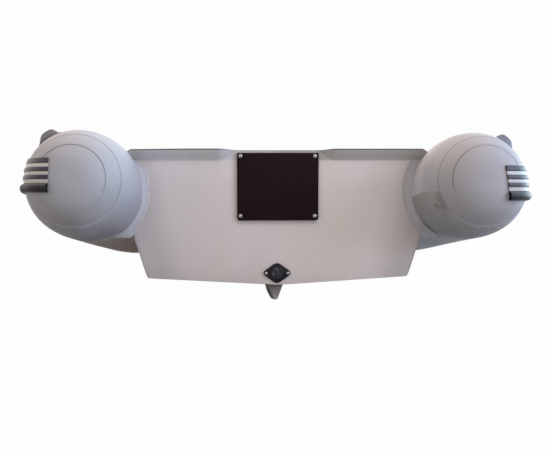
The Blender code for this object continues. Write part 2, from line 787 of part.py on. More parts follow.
def build_handles(boat):
    outline = [*HANDLE_OUTER, *[(-s, h) for s, h in reversed(HANDLE_OUTER)],
               *[(-s, h) for s, h in HANDLE_INNER], *reversed(HANDLE_INNER)]
    for name, side, way, degrees in HANDLES:
        angle = math.radians(degrees)
        pad = add_object(name, skin_patch_mesh(
            side, way, angle, HANDLE_PAD_HALF_LENGTH, HANDLE_PAD_HALF_WIDTH,
            2 * PATCH_SEAT, HANDLE_PAD_THICKNESS, 3.0, 4), "grey_rubber", boat)
        here = skin_point(side, way, angle)
        run = (skin_point(side, way + 0.01, angle) - here).length / 0.01
        rings = []
        for share, inset in HANDLE_EDGES:
            turn = angle + share * HANDLE_HALF_WIDTH / TUBE_RADIUS
            rings.append([skin_point(side, way + s / run, turn, h - (inset if h > HANDLE_CROWN else 0))
                          for s, h in outline])
        boolean(pad, helper(f"{name}_strap", loft_mesh(rings), boat), "UNION")


def build_valves(boat):
    for name, side, way, degrees in VALVES:
        angle = math.radians(degrees)
        rim = add_object(name, skin_patch_mesh(side, way, angle, VALVE_RADIUS, VALVE_RADIUS,
                                               2 * PATCH_SEAT, VALVE_THICKNESS), "black_plastic", boat)
        cap = skin_patch_mesh(side, way, angle, VALVE_CAP_RADIUS, VALVE_CAP_RADIUS, *VALVE_CAP_SPAN)
        boolean(rim, helper(f"{name}_cap", cap, boat), "UNION")


def ring_along(points, radius, sides=8):
    """A round wire through points, as one closed body."""
    rings = []
    for k, point in enumerate(points):
        before, after = points[max(k - 1, 0)], points[min(k + 1, len(points) - 1)]
        along = (after - before).normalized()
        first = along.cross(Vector((1, 0, 0)))
        if first.length < 0.2:
            first = along.cross(Vector((0, 0, 1)))
        first.normalize()
        second = along.cross(first)
        turns = [2 * math.pi * j / sides for j in range(sides)]
        rings.append([point + (first * math.cos(t) + second * math.sin(t)) * radius for t in turns])
    return loft_mesh(rings)


def build_eye(boat, name, matrix):
    """A steel U-bolt on its base plate. The matrix's Z points out of the surface."""
    length, width, thickness = EYE_PLATE
    plate = rounded_rectangle(length, width, EYE_PLATE_CORNER)
    obj = add_object(name, prism_mesh(plate, FIT_GAP, thickness, matrix), "steel", boat)
    arc = [(EYE_RADIUS * math.cos(t), EYE_LEG + EYE_RADIUS * math.sin(t))
           for t in (math.pi * k / 8 for k in range(9))]
    path = [(EYE_RADIUS, 0.001), *arc, (-EYE_RADIUS, 0.001)]
    wire = ring_along([matrix @ Vector((x, 0, z)) for x, z in path], EYE_WIRE)
    boolean(obj, helper(f"{name}_wire", wire, boat), "UNION")


def build_eyes(boat):
    sole = sole_height(LIFTING_EYE_Y)
    tilt = math.atan(SOLE_RISE)
    for name, side in (("port", -1), ("starboard", 1)):
        place = Matrix.Translation((side * LIFTING_EYE_X, LIFTING_EYE_Y, sole))
        build_eye(boat, f"lifting_eye_{name}", place @ Matrix.Rotation(tilt, 4, "X"))
    aft, fore = (Vector((0, y, keel_height(y))) for y in BOW_EYE_BETWEEN)
    along = (fore - aft).normalized()
    out = Vector((0, along.z, -along.y))
    basis = Matrix((along, out.cross(along), out)).transposed().to_4x4()
    build_eye(boat, "bow_eye", Matrix.Translation((aft + fore) / 2) @ basis)


def build_tow_rings(boat):
    """A round rubber patch on each bow quarter with a steel ring held in its lug."""
    for name, side in (("port", -1), ("starboard", 1)):
        add_object(f"tow_patch_{name}", skin_patch_mesh(
            side, TOW_TURN, TOW_ANGLE, TOW_PATCH_RADIUS, TOW_PATCH_RADIUS, PATCH_SEAT,
            TOW_PATCH_THICKNESS, 2.0, 4), "grey_rubber", boat)
        base = skin_point(side, TOW_TURN, TOW_ANGLE, TOW_PATCH_THICKNESS + FIT_GAP)
        out = (skin_point(side, TOW_TURN, TOW_ANGLE, 0.1) - base).normalized()
        along = (skin_point(side, TOW_TURN + 0.02, TOW_ANGLE)
                 - skin_point(side, TOW_TURN - 0.02, TOW_ANGLE))
        along = (along - out * along.dot(out)).normalized()
        down = out.cross(along)
        if down.z > 0:
            along, down = -along, -down
        lug = Matrix((along, down, out)).transposed().to_4x4()
        lug = Matrix.Translation(base) @ lug
        obj = add_object(f"tow_ring_{name}", prism_mesh(rounded_rectangle(*TOW_LUG), *TOW_LUG_SPAN, lug),
                         "steel", boat)
        half = TOW_RING_HALF
        turns = [math.pi * (k / 8) for k in range(9)]
        loop = [(half, 0.0), *[(half * math.cos(t), TOW_RING_DROP + half * math.sin(t)) for t in turns],
                (-half, 0.0), (-TOW_RING_INSIDE, 0.0), (TOW_RING_INSIDE, 0.0)]
        path = [lug @ Vector((x, y, TOW_RING_HEIGHT)) for x, y in loop]
        wire = ring_along([*path, (path[0] + path[-1]) / 2], TOW_RING_WIRE)
        boolean(obj, helper(f"tow_ring_{name}_wire", wire, boat), "UNION")


def build_oarlocks(boat):
    """A rubber pad with a socket on top of each tube, and a fork that swivels in it."""
    height = axis_height(OARLOCK_WAY) + TUBE_RADIUS
    upright = math.pi / 2
    for name, side in (("port", -1), ("starboard", 1)):
        pad = add_object(f"oarlock_pad_{name}", skin_patch_mesh(
            side, OARLOCK_WAY, upright, OARLOCK_PAD_RADIUS, OARLOCK_PAD_RADIUS * 0.9,
            2 * PATCH_SEAT, OARLOCK_PAD_THICKNESS, 2.0, 4), "black_rubber", boat)
        centre = Vector((side * TUBE_SPREAD, OARLOCK_WAY, height))
        stand = Matrix.Translation(centre)
        boss = prism_mesh(circle_outline(OARLOCK_BOSS_RADIUS), OARLOCK_SEAT, OARLOCK_BOSS_HEIGHT,
                          stand)
        boolean(pad, helper(f"oarlock_boss_{name}", boss, boat), "UNION")
        bore = prism_mesh(circle_outline(OARLOCK_BORE, 16), OARLOCK_SEAT + 0.0005,
                          2 * OARLOCK_BOSS_HEIGHT, stand)
        boolean(pad, helper(f"oarlock_bore_{name}", bore, boat))
        seat = OARLOCK_BOSS_HEIGHT + FIT_GAP
        collar = prism_mesh(circle_outline(FORK_COLLAR_RADIUS, 16), seat,
                            seat + FORK_COLLAR_HEIGHT, stand)
        fork = add_object(f"oarlock_fork_{name}", collar, "black_plastic", boat, centre)
        pin = prism_mesh(circle_outline(OARLOCK_PIN, 16), OARLOCK_SEAT + 0.0015,
                         seat + FORK_COLLAR_HEIGHT / 2, stand)
        boolean(fork, helper(f"oarlock_pin_{name}", pin, boat), "UNION")
        outer, inner, rise = OARLOCK_GAP + FORK_THICKNESS, OARLOCK_GAP, OARLOCK_RISE
        base = seat + 0.75 * FORK_COLLAR_HEIGHT
        outline = [(-outer, base + outer), (-outer * 0.72, base + outer * 0.30), (-0.010, base),
                   (0.010, base), (outer * 0.72, base + outer * 0.30), (outer, base + outer),
                   (outer * 1.05, base + rise), (inner * 1.12, base + rise),
                   (inner, base + outer), (inner * 0.70, base + 0.022), (0.0, base + 0.012),
                   (-inner * 0.70, base + 0.022), (-inner, base + outer),
                   (-inner * 1.12, base + rise), (-outer * 1.05, base + rise)]
        across = stand @ Matrix.Rotation(math.pi / 2, 4, "Z") @ Matrix.Rotation(math.pi / 2, 4, "X")
        horns = prism_mesh(outline, -FORK_HALF_DEPTH, FORK_HALF_DEPTH, across)
        boolean(fork, helper(f"oarlock_horns_{name}", horns, boat), "UNION")


def build_thwart(boat, tube_cutter):
    mid = (THWART_AFT + THWART_FORE) / 2
    half = (THWART_FORE - THWART_AFT) / 2
    long, corner = THWART_HALF_LENGTH, THWART_CORNER
    corners = [(-long, -half, corner), (long, -half, corner),
               (long, half, corner), (-long, half, corner)]
    stand = Matrix.Translation((0, mid, THWART_BOTTOM))
    board = add_object("thwart", prism_mesh(rounded_outline(corners, 5), 0, THWART_THICKNESS, stand),
                       "liner", boat)
    bevel = board.modifiers.new("eased edges", "BEVEL")
    bevel.width = THWART_EDGE
    bevel.segments = 2
    bevel.limit_method = "ANGLE"
    for name, side in (("port", -1), ("starboard", 1)):
        middle, reach = sum(CHOCK_SPAN) / 2, (CHOCK_SPAN[1] - CHOCK_SPAN[0]) / 2
        plan = rounded_rectangle(reach, half - CHOCK_INSET, CHOCK_CORNER)
        outline = [(side * (middle + x), y) for x, y in plan]
        chock = add_object(f"seat_chock_{name}", prism_mesh(outline, -CHOCK_DEPTH, -FIT_GAP, stand),
                           "grey_rubber", boat)
        boolean(chock, tube_cutter)


# Bow locker

def mirrored_plan(half_plan):
    return [(x, y) for y, x in half_plan] + [(-x, y) for y, x in reversed(half_plan)]


def knuckle(centre_x, length, parent, name):
    turn = Matrix.Translation((centre_x, HINGE_WAY, HINGE_HEIGHT)) @ Matrix.Rotation(
        math.pi / 2, 4, "Y")
    barrel = prism_mesh(circle_outline(KNUCKLE_RADIUS, 12), -length / 2, length / 2, turn)
    return helper(name, barrel, parent)


def box_mesh(low, high):
    outline = [(low[0], low[1]), (high[0], low[1]), (high[0], high[1]), (low[0], high[1])]
    return prism_mesh(outline, low[2], high[2], Matrix.Identity(4))


def build_locker(boat, tube_cutter):
    """The step locker at the bow, hollow and open at the top, with a lid hinged at its fore edge."""
    plan = mirrored_plan(LOCKER_PLAN)
    rings = [[Vector((x, y, z)) for x, y in plan] for z in (SOLE_HEIGHT - 0.02, LOCKER_TOP)]
    locker = add_object("bow_locker", loft_mesh(rings), "liner", boat)
    boolean(locker, helper("under_liner", panel_loft(section_rings(under_liner_half, LINER_STATIONS)), boat))
    boolean(locker, tube_cutter)
    mouth = prism_mesh(mirrored_plan(LOCKER_MOUTH), LOCKER_FLOOR, LOCKER_TOP + 0.05,
                       Matrix.Identity(4))
    boolean(locker, helper("locker_mouth", mouth, boat))
    grown = [(LOCKER_MOUTH[0][0] - LID_OVERLAP, LOCKER_MOUTH[0][1] + LID_OVERLAP),
             (LOCKER_MOUTH[1][0] + LID_OVERLAP, LOCKER_MOUTH[1][1] + LID_OVERLAP)]
    corners = [(x, y, LID_CORNER) for x, y in mirrored_plan(grown)]
    hinge = (0, HINGE_WAY, HINGE_HEIGHT)
    underside = LOCKER_TOP + FIT_GAP
    lid = add_object("locker_lid", prism_mesh(rounded_outline(corners, 4), underside,
                                              underside + LID_THICKNESS, Matrix.Identity(4)),
                     "liner", boat, hinge)
    for k, x in enumerate(HINGE_PLACES):
        half = KNUCKLE_LENGTH / 2
        leaf = box_mesh((x - half, HINGE_WAY - LEAF_LENGTH, underside + LID_THICKNESS - 0.001),
                        (x + half, HINGE_WAY, HINGE_HEIGHT + 0.002))
        boolean(lid, helper(f"lid_leaf_{k}", leaf, boat), "UNION")
        boolean(lid, knuckle(x, KNUCKLE_LENGTH, boat, f"lid_knuckle_{k}"), "UNION")
        for j, shift in enumerate((-1, 1)):
            place = x + shift * (KNUCKLE_LENGTH + 0.001)
            foot = box_mesh((place - half, HINGE_WAY + FOOT_SPAN[0], LOCKER_TOP - 0.002),
                            (place + half, HINGE_WAY + FOOT_SPAN[1], HINGE_HEIGHT))
            boolean(locker, helper(f"locker_foot_{k}_{j}", foot, boat), "UNION")
            boolean(locker, knuckle(place, KNUCKLE_LENGTH, boat, f"locker_knuckle_{k}_{j}"),
                    "UNION")


def main():
    clear_scene()
    boat = bpy.data.objects.new("boat", None)
    bpy.context.scene.collection.objects.link(boat)
    boat.location = (0, -FLOAT_CENTRE, -DRAUGHT)
    tube_cutter = helper("tube_cutter", loft_mesh(whole_tube_rings(FIT_GAP)), boat)
    build_tubes(boat)
    build_hull(boat, tube_cutter)
    build_transom(boat, tube_cutter)
    build_skeg(boat)
    build_motor_pads(boat)
    build_drain(boat)
    build_collars(boat)
    build_strake(boat)
    build_handles(boat)
    build_valves(boat)
    build_eyes(boat)
    build_tow_rings(boat)
    build_oarlocks(boat)
    build_thwart(boat, tube_cutter)
    build_locker(boat, tube_cutter)


main()
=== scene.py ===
"""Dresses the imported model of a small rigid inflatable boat: fabric, gelcoat, rubber and fittings.

Run it as a script inside Blender. Lengths are in metres. Pieces are drawn from the keel line at
the foot of the transom, X to starboard, Y forward, Z up, and are then set into the row frame.
"""

import math

import bmesh
import bpy
from mathutils import Matrix, Vector


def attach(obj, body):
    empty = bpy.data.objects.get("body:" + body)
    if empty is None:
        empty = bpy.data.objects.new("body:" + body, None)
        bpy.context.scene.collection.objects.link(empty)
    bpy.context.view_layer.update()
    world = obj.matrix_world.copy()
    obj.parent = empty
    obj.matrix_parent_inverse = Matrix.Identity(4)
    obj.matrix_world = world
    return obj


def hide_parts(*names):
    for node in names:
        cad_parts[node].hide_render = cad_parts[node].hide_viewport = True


bl_info = {
    "name": "Inflatable Boat Dresser",
    "version": (1, 0, 0),
    "blender": (4, 5, 0),
    "location": "3D View > Sidebar > Boat",
    "description": "Builds the seen surfaces of a small inflatable boat round its packed model",
    "category": "Object",
}

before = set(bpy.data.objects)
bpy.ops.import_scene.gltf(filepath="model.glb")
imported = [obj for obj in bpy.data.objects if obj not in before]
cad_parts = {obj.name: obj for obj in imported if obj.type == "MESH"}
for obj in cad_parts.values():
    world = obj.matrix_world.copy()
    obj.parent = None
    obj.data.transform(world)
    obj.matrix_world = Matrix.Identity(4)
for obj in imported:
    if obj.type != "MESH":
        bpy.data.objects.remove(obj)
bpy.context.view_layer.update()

# The boat's sizes, as its source has them
ORIGIN = Vector((0.0, -1.00, -0.10))  # from the keel line at the transom to the row frame
SEAT_GAP = 0.0004  # between pieces that seat on each other

# The tubes: straight at the stern, rising towards the bow and half an ellipse round it
TUBE_RADIUS = 0.169
TUBE_SPREAD = 0.611
TUBE_AXIS_HEIGHT = 0.309
SHEER_START = 0.70
SHEER_RISE = 0.160
SHEER_POWER = 1.8
BOW_START = 1.15
BOW_REACH = 0.94
BOW_SEAM = math.radians(14)

# The domes that end the tubes at the stern
DOME_START = -0.063
DOME_LENGTH = 0.331
DOME_POWER = 3.0
DOME_BLUNTNESS = 0.375
DOME_DROOP = 0.0065

# The transom, its foot along the hull and the lips along its top
RAKE = math.radians(10)
TRANSOM_THICKNESS = 0.040
TRANSOM_TOP = 0.433
TOP_RAISE = 0.0035  # the trim on the top edge
PORT_FALL = 0.0020
FOOT_DROP = 0.0030  # the outer skin laps this far below the hull
STARBOARD_REACH = 0.0070  # and stands this much further out on its starboard side
CHINE_X = 0.430
CHINE_Z = 0.0236
FLARE = 0.31
CHINE_ROUND = 0.014
LIP_REACH = 0.040
LIP_DEPTH = 0.032
LIP_START = 0.128
LIP_FULL = 0.195
LIP_CORNER = 0.474
LIP_CORNER_FALL = 0.70

# Hull, cockpit and skeg. Pairs are (distance from the keel line, height)
SOLE_HEIGHT = 0.100
SOLE_RISE = 0.020
SOLE_THICKNESS = 0.020
KEEL_RISE = 0.30
KEEL_POWER = 2.2
HULL_REACH = 2.08
CHINE_RISE = 0.27
RAIL_START = 0.60
RAIL_HEIGHT = 0.006
HULL_SHOULDER = (0.470, 0.155)
HULL_FLANGE = (0.517, 0.210)
SIDE_RIM = (0.4650, 0.4300, 0.268)  # outer edge, inner edge, height
SOLE_EDGE = 0.3960
SKEG_AFT = 0.045
SKEG_FORE = 1.14
SKEG_DEPTH = 0.0515
SKEG_SHIFT = -0.008
SKEG_LEAN = 0.0035

# Motor pads and drain
PAD_WIDTH = 0.264
PAD_BOTTOM = 0.210
PAD_TOP = 0.427
PAD_THICKNESS = 0.010
PAD_CORNER = 0.009
PAD_EXTRA = 0.0035  # the plate's starboard edge stands this much further out
INNER_PAD_BOTTOM = 0.250
DRAIN_HEIGHT = 0.0362
DRAIN_HALF_WIDTH = 0.0450
DRAIN_HALF_HEIGHT = 0.0300
DRAIN_EAR = 0.0110
DRAIN_WAIST = 0.020
DRAIN_THICKNESS = 0.007

# Rubbing strakes, with heights from the tube's axis
STRAKE_TOP = 0.068
STRAKE_BASE = 0.0024
RIBS = ((0.0600, 0.0086), (0.0340, 0.0068), (0.0110, 0.0066))  # height, half height
RIB_STAND_OFF = 0.0048
ROLL_HEIGHT = -0.0202
ROLL_RADIUS = 0.0131
ROLL_STAND_OFF = 0.0018
STRAKE_SKEW = 0.012
STRAKE_FALL = 0.0045
STRAKE_DIP = 0.013
STRAKE_DIP_POWER = 2.5
STRAKE_ENDS = {-1: 0.060, 1: 0.047}
STRAKE_SLANTS = {-1: 0.0, 1: 0.11}  # how far the cut end leans outboard on its way down

# Fittings on the tubes. A way is how far forward of the transom's foot
HANDLES = (  # name, side, way, angle, half width at the foot of the grip, share of the full height
    ("grab_handle_aft_port", -1, -0.11, 54.9, 0.0300, 1.0),
    ("grab_handle_aft_starboard", 1, -0.11, 51.0, 0.0345, 1.20),
    ("grab_handle_fore_port", -1, 1.08, 60, 0.0300, 1.0),
    ("grab_handle_fore_starboard", 1, 1.08, 60, 0.0300, 1.0),
    ("grab_handle_bow", 1, BOW_START + math.pi / 2, 75, 0.0300, 1.0),
)
GRIP_POWER = 0.62  # how square the grip's section is
GRIP_REACH = 0.0978
GRIP_RIBS = (0.066, 0.0085, 0.0011)  # how far from the middle they run, their pitch and height
HANDLE_TAPER = 0.60  # how much narrower it gets for its height above the pad
HANDLE_PAD = (0.115, 0.044, 0.0045)  # half length, half width, thickness
HANDLE_OUTER = ((-0.098, 0.002), (-0.090, 0.010), (-0.062, 0.027), (-0.050, 0.031))
HANDLE_INNER = ((-0.072, 0.002), (-0.050, 0.017), (-0.042, 0.020))
OARLOCK_WAY = 0.93
OARLOCK_PAD_RADIUS = 0.058
OARLOCK_BOSS_RADIUS = 0.020
OARLOCK_BOSS_HEIGHT = 0.023
OARLOCK_GAP = 0.026
OARLOCK_RISE = 0.070
FORK_THICKNESS = 0.010

# Fittings in the cockpit
THWART_AFT = 0.52
THWART_FORE = 0.74
THWART_HALF_LENGTH = 0.530
THWART_BOTTOM = 0.465
THWART_THICKNESS = 0.024
TREADS = ((0.22, 0.62, 0.375), (0.66, 1.075, 0.372))  # aft end, fore end, outer edge
LOCKER_TOP = 0.345
LOCKER_MOUTH = ((1.475, 0.255), (1.745, 0.150))  # way and half width, aft and fore
LID_THICKNESS = 0.015
LID_OVERLAP = 0.014
HINGE_WAY = 1.772
HINGE_HEIGHT = 0.365
HINGE_PLACES = (-0.085, 0.085)
KNUCKLE_RADIUS = 0.0055
KNUCKLE_LENGTH = 0.016

# Valves, eyes and rings
VALVES = (  # name, side, way, angle
    ("valve_port", -1, 0.33, 128), ("valve_starboard", 1, 0.33, 128),
    ("valve_bow", -1, BOW_START + math.radians(56), 132),
)
LIFTING_EYE = (0.30, 0.14)
BOW_EYE_BETWEEN = (1.75, 1.88)
TOW_TURN = BOW_START + math.radians(50)
TOW_ANGLE = math.radians(-34)

# Floor and camera
FLOOR_HEIGHT = -0.1525  # under the skeg, in the row frame
CAMERA_PLACE = (-0.1092, -3.80, -0.1035)  # in the row frame, a little to port of the keel
CAMERA_YAW = -0.0369
CAMERA_PITCH = 0.0713
CAMERA_ROLL = 0.0052

# Where the tubes aren't quite round, by side
TUBE_SWELL = {-1: 0.0031, 1: -0.0013}  # the port tube is blown up harder at the stern
SWELL_END = 0.75
BULGES = {  # angle, its spread, height, way, spreads aft and fore of a swelling or a hollow
    -1: ((42, 52, 0.0100, -0.20, 0.075, 0.35), (275, 40, -0.0035, -0.15, 0.12, 0.35),
         (252, 16, 0.0100, 0.85, 0.35, 0.35)),
    1: ((27, 24, -0.0074, -0.27, 0.06, 0.30), (255, 32, -0.0030, 0.0, 0.20, 0.50),
        (252, 16, -0.0040, 0.85, 0.35, 0.35), (2, 17, -0.0045, -0.03, 0.12, 0.35),
        (310, 30, 0.0025, -0.25, 0.08, 0.30), (120, 30, 0.0020, -0.20, 0.08, 0.30)),
}
SIDES = (("port", -1), ("starboard", 1))


# Sizes and colours a user may change

def colour_property(name, description, default):
    return bpy.props.FloatVectorProperty(name=name, description=description, subtype="COLOR",
                                         size=3, min=0.0, max=1.0, default=default)


def number_property(name, description, default, high=None, **kind):
    limits = {} if high is None else {"max": high}
    return bpy.props.FloatProperty(name=name, description=description, min=0.0, default=default,
                                   **limits, **kind)


def length_property(name, description, default, high):
    return number_property(name, description, default, high, unit="LENGTH", subtype="DISTANCE",
                           precision=4)


def power_property(name, description, default):
    return number_property(name, description, default, unit="POWER")


def share_property(name, description, default):
    return number_property(name, description, default, 1.0, subtype="FACTOR")


class BoatColours(bpy.types.PropertyGroup):
    fabric: colour_property("Tube fabric", "Coated fabric of the air tubes", (0.36, 0.36, 0.38))
    fabric_dirt: colour_property("Fabric dirt", "Grime low down on the tubes", (0.17, 0.145, 0.125))
    # Lighter than the fabric: dried silt, and painted light standing in for light from the floor
    # under the tubes.
    silt_and_bounce_light: colour_property("Silt", "Dried silt under the tubes", (0.60, 0.545, 0.515))
    smudge: colour_property("Smudges", "Rub marks on the domes", (0.12, 0.095, 0.065))
    seam: colour_property("Seams", "Glue line at the edge of each lap", (0.13, 0.13, 0.14))
    # The sealant colours draw a pale bead along the port collar's rounded edge: a painted highlight,
    # laid as a bead of sealant.
    sealant: colour_property("Sealant", "Bead along the port collar strip", (0.60, 0.58, 0.62))
    sealant_highlight_dull: colour_property("Dull sealant", "Where the bead has aged", (0.36, 0.34, 0.35))
    # Lighter than the tube fabric the strips are cut from: painted light in the corner of tube and
    # transom.
    collar: colour_property("Collar strips", "Strips between tube and transom",
                            (0.485, 0.480, 0.510))
    gelcoat: colour_property("Gelcoat", "Outside of hull and transom", (0.70, 0.65, 0.64))
    hull_keel: colour_property("Skeg", "Skeg under the keel", (0.30, 0.28, 0.275))
    liner: colour_property("Inner moulding", "Sole, sides, locker and thwart", (0.66, 0.64, 0.62))
    deck_grip: colour_property("Deck grip", "Tread panels on the sole", (0.33, 0.33, 0.335))
    band: colour_property("Strake band", "Light band between the ribs", (0.50, 0.50, 0.47))
    rib: colour_property("Strake ribs", "Thin dark ribs", (0.030, 0.026, 0.037))
    roll: colour_property("Strake roll", "Heavy roll under the ribs", (0.014, 0.014, 0.018))
    # A painted highlight: the lighter colour of the roll's upward-facing side.
    roll_highlight: colour_property("Roll dust", "Dust on the roll's upper side", (0.125, 0.100, 0.108))
    rubber: colour_property("Grey rubber", "Handles, towing patches and chocks",
                            (0.095, 0.088, 0.106))
    pad: colour_property("Motor pad", "Plates the outboard motor clamps on",
                         (0.0130, 0.0054, 0.0076))
    plastic: colour_property("Black plastic", "Drain, valves and oarlocks", (0.009, 0.009, 0.012))
    # A darker band along the transom's lip.
    lip_edge_dark: colour_property("Lip trim", "Thin dark edge of the transom's lip", (0.055, 0.055, 0.055))
    steel: colour_property("Steel", "Screws, eyes and towing rings", (0.60, 0.60, 0.61))
    tea_stain: colour_property("Tea stain", "Brown film on the steel", (0.34, 0.24, 0.16))


class BoatDetails(bpy.types.PropertyGroup):
    lap: length_property("Lap step", "Step from one layer of fabric to the next", 0.0009, 0.003)
    seam_width: length_property("Seam width", "Width of the line along a lap", 0.0032, 0.02)
    screw_radius: length_property("Pad screws", "Radius of the pads' screw heads", 0.0052, 0.01)
    ease: length_property("Eased edges", "Rounding of hard moulded edges", 0.0022, 0.006)
    grain: length_property("Grain", "Size of the fabric's grain", 0.0014, 0.01)
    dirt: share_property("Dirt", "How much grime the surfaces carry", 0.75)


class StudioLook(bpy.types.PropertyGroup):
    lens: number_property("Lens", "Focal length on a 36 mm frame", 54.91, 200.0, unit="CAMERA")
    ambient: number_property("Ambient", "Strength of the soft surround", 3.2, 6.0)
    sky_up: colour_property("From above", "Surround overhead", (0.0, 0.0, 0.0))
    sky_aft: colour_property("From astern", "Surround behind the camera", (0.301, 0.251, 0.196))
    sky_fore: colour_property("From ahead", "Surround beyond the bow", (0.600, 0.548, 0.517))
    sky_port: colour_property("From port", "Surround on the port side", (0.392, 0.367, 0.369))
    sky_starboard: colour_property("From starboard", "Surround to starboard", (0.454, 0.764, 1.0))
    top_power: power_property("Top light", "Overhead panel", 98.0)
    top_tint: colour_property("Top tint", "Colour of the overhead panel", (1.0, 0.806, 0.711))
    cool_power: power_property("Cool light", "Panel to starboard", 79.0)
    cool_tint: colour_property("Cool tint", "Its colour", (0.822, 0.737, 1.0))
    rim_power: power_property("Rim light", "Panel beyond the starboard bow", 78.0)
    rim_tint: colour_property("Rim tint", "Its colour", (0.74, 0.90, 1.0))
    floor_tone: share_property("Floor bounce", "How much light the floor returns", 0.40)


WHITE = (1.0, 1.0, 1.0)
PAPER = 0.985  # how white the backdrop is


# Shader maths

class Wire:
    """An output socket of a finish. Arithmetic on it adds Math nodes."""

    def __init__(self, finish, socket):
        self.finish = finish
        self.socket = socket

    def math(self, operation, *values):
        return self.finish.node("ShaderNodeMath", {"operation": operation}, dict(enumerate(values)))

    def __add__(self, other):
        return self.math("ADD", self, other)

    def __sub__(self, other):
        return self.math("SUBTRACT", self, other)

    def __rsub__(self, other):
        return self.math("SUBTRACT", other, self)

    def __mul__(self, other):
        return self.math("MULTIPLY", self, other)

    def __pow__(self, other):
        return self.math("POWER", self, other)

    def __abs__(self):
        return self.math("ABSOLUTE", self)

    def sine(self):
        return self.math("SINE", self)

    def larger(self, other):
        return self.math("MAXIMUM", self, other)

    __radd__ = __add__
    __rmul__ = __mul__


class Nodes:
    """Adds nodes to a tree and links them."""

    def __init__(self, tree):
        self.tree = tree

    def node(self, kind, settings=None, sockets=None, output=0):
        """Adds any node: first its settings, then the values or wires of its sockets."""
        node = self.tree.nodes.new(kind)
        for key, value in (settings or {}).items():
            setattr(node, key, value)
        for key, value in (sockets or {}).items():
            self.feed(node.inputs[key], value)
        return Wire(self, node.outputs[output])

    def feed(self, socket, value):
        if isinstance(value, Wire):
            self.tree.links.new(value.socket, socket)
        elif socket.type == "RGBA":
            socket.default_value = (*value[:3], 1.0)
        else:
            socket.default_value = value

    def parts(self, vector):
        return [self.node("ShaderNodeSeparateXYZ", sockets={0: vector}, output=k) for k in range(3)]

    def seen_white(self, shader, white):
        """Camera rays see even white, and all other rays see the given shader."""
        camera = self.node("ShaderNodeLightPath", output="Is Camera Ray")
        return self.node("ShaderNodeMixShader", sockets={0: camera, 1: shader, 2: white})


class Finish(Nodes):
    """The nodes of one material, written as expressions on wires."""

    def __init__(self, name, roughness=0.5, metallic=0.0, specular=0.5):
        self.material = bpy.data.materials.new(name)
        self.material.use_nodes = True
        super().__init__(self.material.node_tree)
        self.shader = self.tree.nodes["Principled BSDF"]
        self.set("Roughness", roughness)
        self.set("Metallic", metallic)
        self.set("Specular IOR Level", specular)
        self.place = self.node("ShaderNodeTexCoord", output="Object")
        self.x, self.y, self.z = self.parts(self.place)

    def set(self, socket, value):
        self.feed(self.shader.inputs[socket], value)

    def noise(self, scale, detail=3.0, rough=0.5, stretch=None):
        """Soft noise from 0 to 1 over the object's own coordinates."""
        place = self.place
        if stretch:
            place = self.node("ShaderNodeMapping", sockets={"Vector": place, "Scale": stretch})
        return self.node("ShaderNodeTexNoise", sockets={
            "Vector": place, "Scale": scale, "Detail": detail, "Roughness": rough})

    def cells(self, scale):
        return self.node("ShaderNodeTexVoronoi", sockets={"Vector": self.place, "Scale": scale})

    def patches(self, scale, detail, rough, low, high, stretch=None):
        """Soft patches: noise that is 0 up to low and 1 from high on."""
        return self.step(self.noise(scale, detail, rough, stretch), low, high)

    def step(self, value, low, high):
        """Rises smoothly from 0 at low to 1 at high, or falls where low is above high."""
        return self.node("ShaderNodeMapRange", {"interpolation_type": "SMOOTHSTEP"}, {
            "Value": value, "From Min": low, "From Max": high})

    def line(self, value, place, width):
        """1 on a thin line where the value passes a place."""
        return self.step(abs(value - place), width * 0.62, width * 0.28)

    def mix(self, share, first, second, blend="MIX"):
        return self.node("ShaderNodeMix", {"data_type": "RGBA", "blend_type": blend}, {
            0: share, 6: first, 7: second}, output=2)

    def toned(self, tone, share, factor):
        """The tone brought by a share towards a multiple of itself."""
        factor = factor if isinstance(factor, tuple) else (factor,) * 3
        return self.mix(share, tone, factor, "MULTIPLY")

    def zoned(self, tone, zones):
        for share, factor in zones:
            tone = self.toned(tone, share, factor)
        return tone

    def facing(self, axis):
        """How far the surface faces along X, Y or Z, from -1 to 1."""
        return self.parts(self.node("ShaderNodeNewGeometry", output="Normal"))[axis]

    def spot(self, place, radius):
        """1 within a ragged spot round a place, fading out to its radius."""
        away = self.node("ShaderNodeVectorMath", {"operation": "DISTANCE"},
                         {0: self.place, 1: place}, output="Value")
        ragged = (self.noise(55.0, 4.0, 0.6) - 0.5) * radius * 1.6
        return self.step(away + ragged, radius, radius * 0.25)

    def along(self):
        """Way along and turn round the tube, from the pieces' own UV map."""
        place = self.node("ShaderNodeUVMap", {"uv_map": "skin"})
        return self.parts(place)[:2]

    def relief(self, *layers):
        """Bumps one over the other, from (height, distance) pairs, the broadest first."""
        under = {}
        for height, distance in layers:
            sockets = {"Height": height, "Distance": distance, "Strength": 1.0, **under}
            under = {"Normal": self.node("ShaderNodeBump", sockets=sockets)}
        self.set("Normal", under["Normal"])


def shade(colour, share):
    return tuple(part * share for part in colour)


FINISHES = {}  # what makes each finish, and its shader's own values
MATERIALS = {}


def coat(**values):
    """Keeps a function as the maker of a finish. It returns the finish's colour."""
    def keep(dress):
        FINISHES[dress.__name__.removeprefix("dress_")] = dress, values
        return dress
    return keep


def finish_of(name):
    """The named finish's material, made the first time a piece asks for it."""
    if name not in MATERIALS:
        scene = bpy.context.scene
        dress, values = FINISHES[name]
        finish = Finish(name, **values)
        finish.set("Base Color", dress(finish, scene.boat_colours, scene.boat_details))
        MATERIALS[name] = finish.material
    return MATERIALS[name]


SMUDGES = (  # place in the row frame, radius and share
    ((0.480, -1.301, 0.153), 0.026, 0.42), ((0.479, -1.274, 0.135), 0.018, 0.50),
    ((0.493, -1.301, 0.128), 0.022, 0.38), ((0.498, -1.055, 0.085), 0.034, 0.35),
)


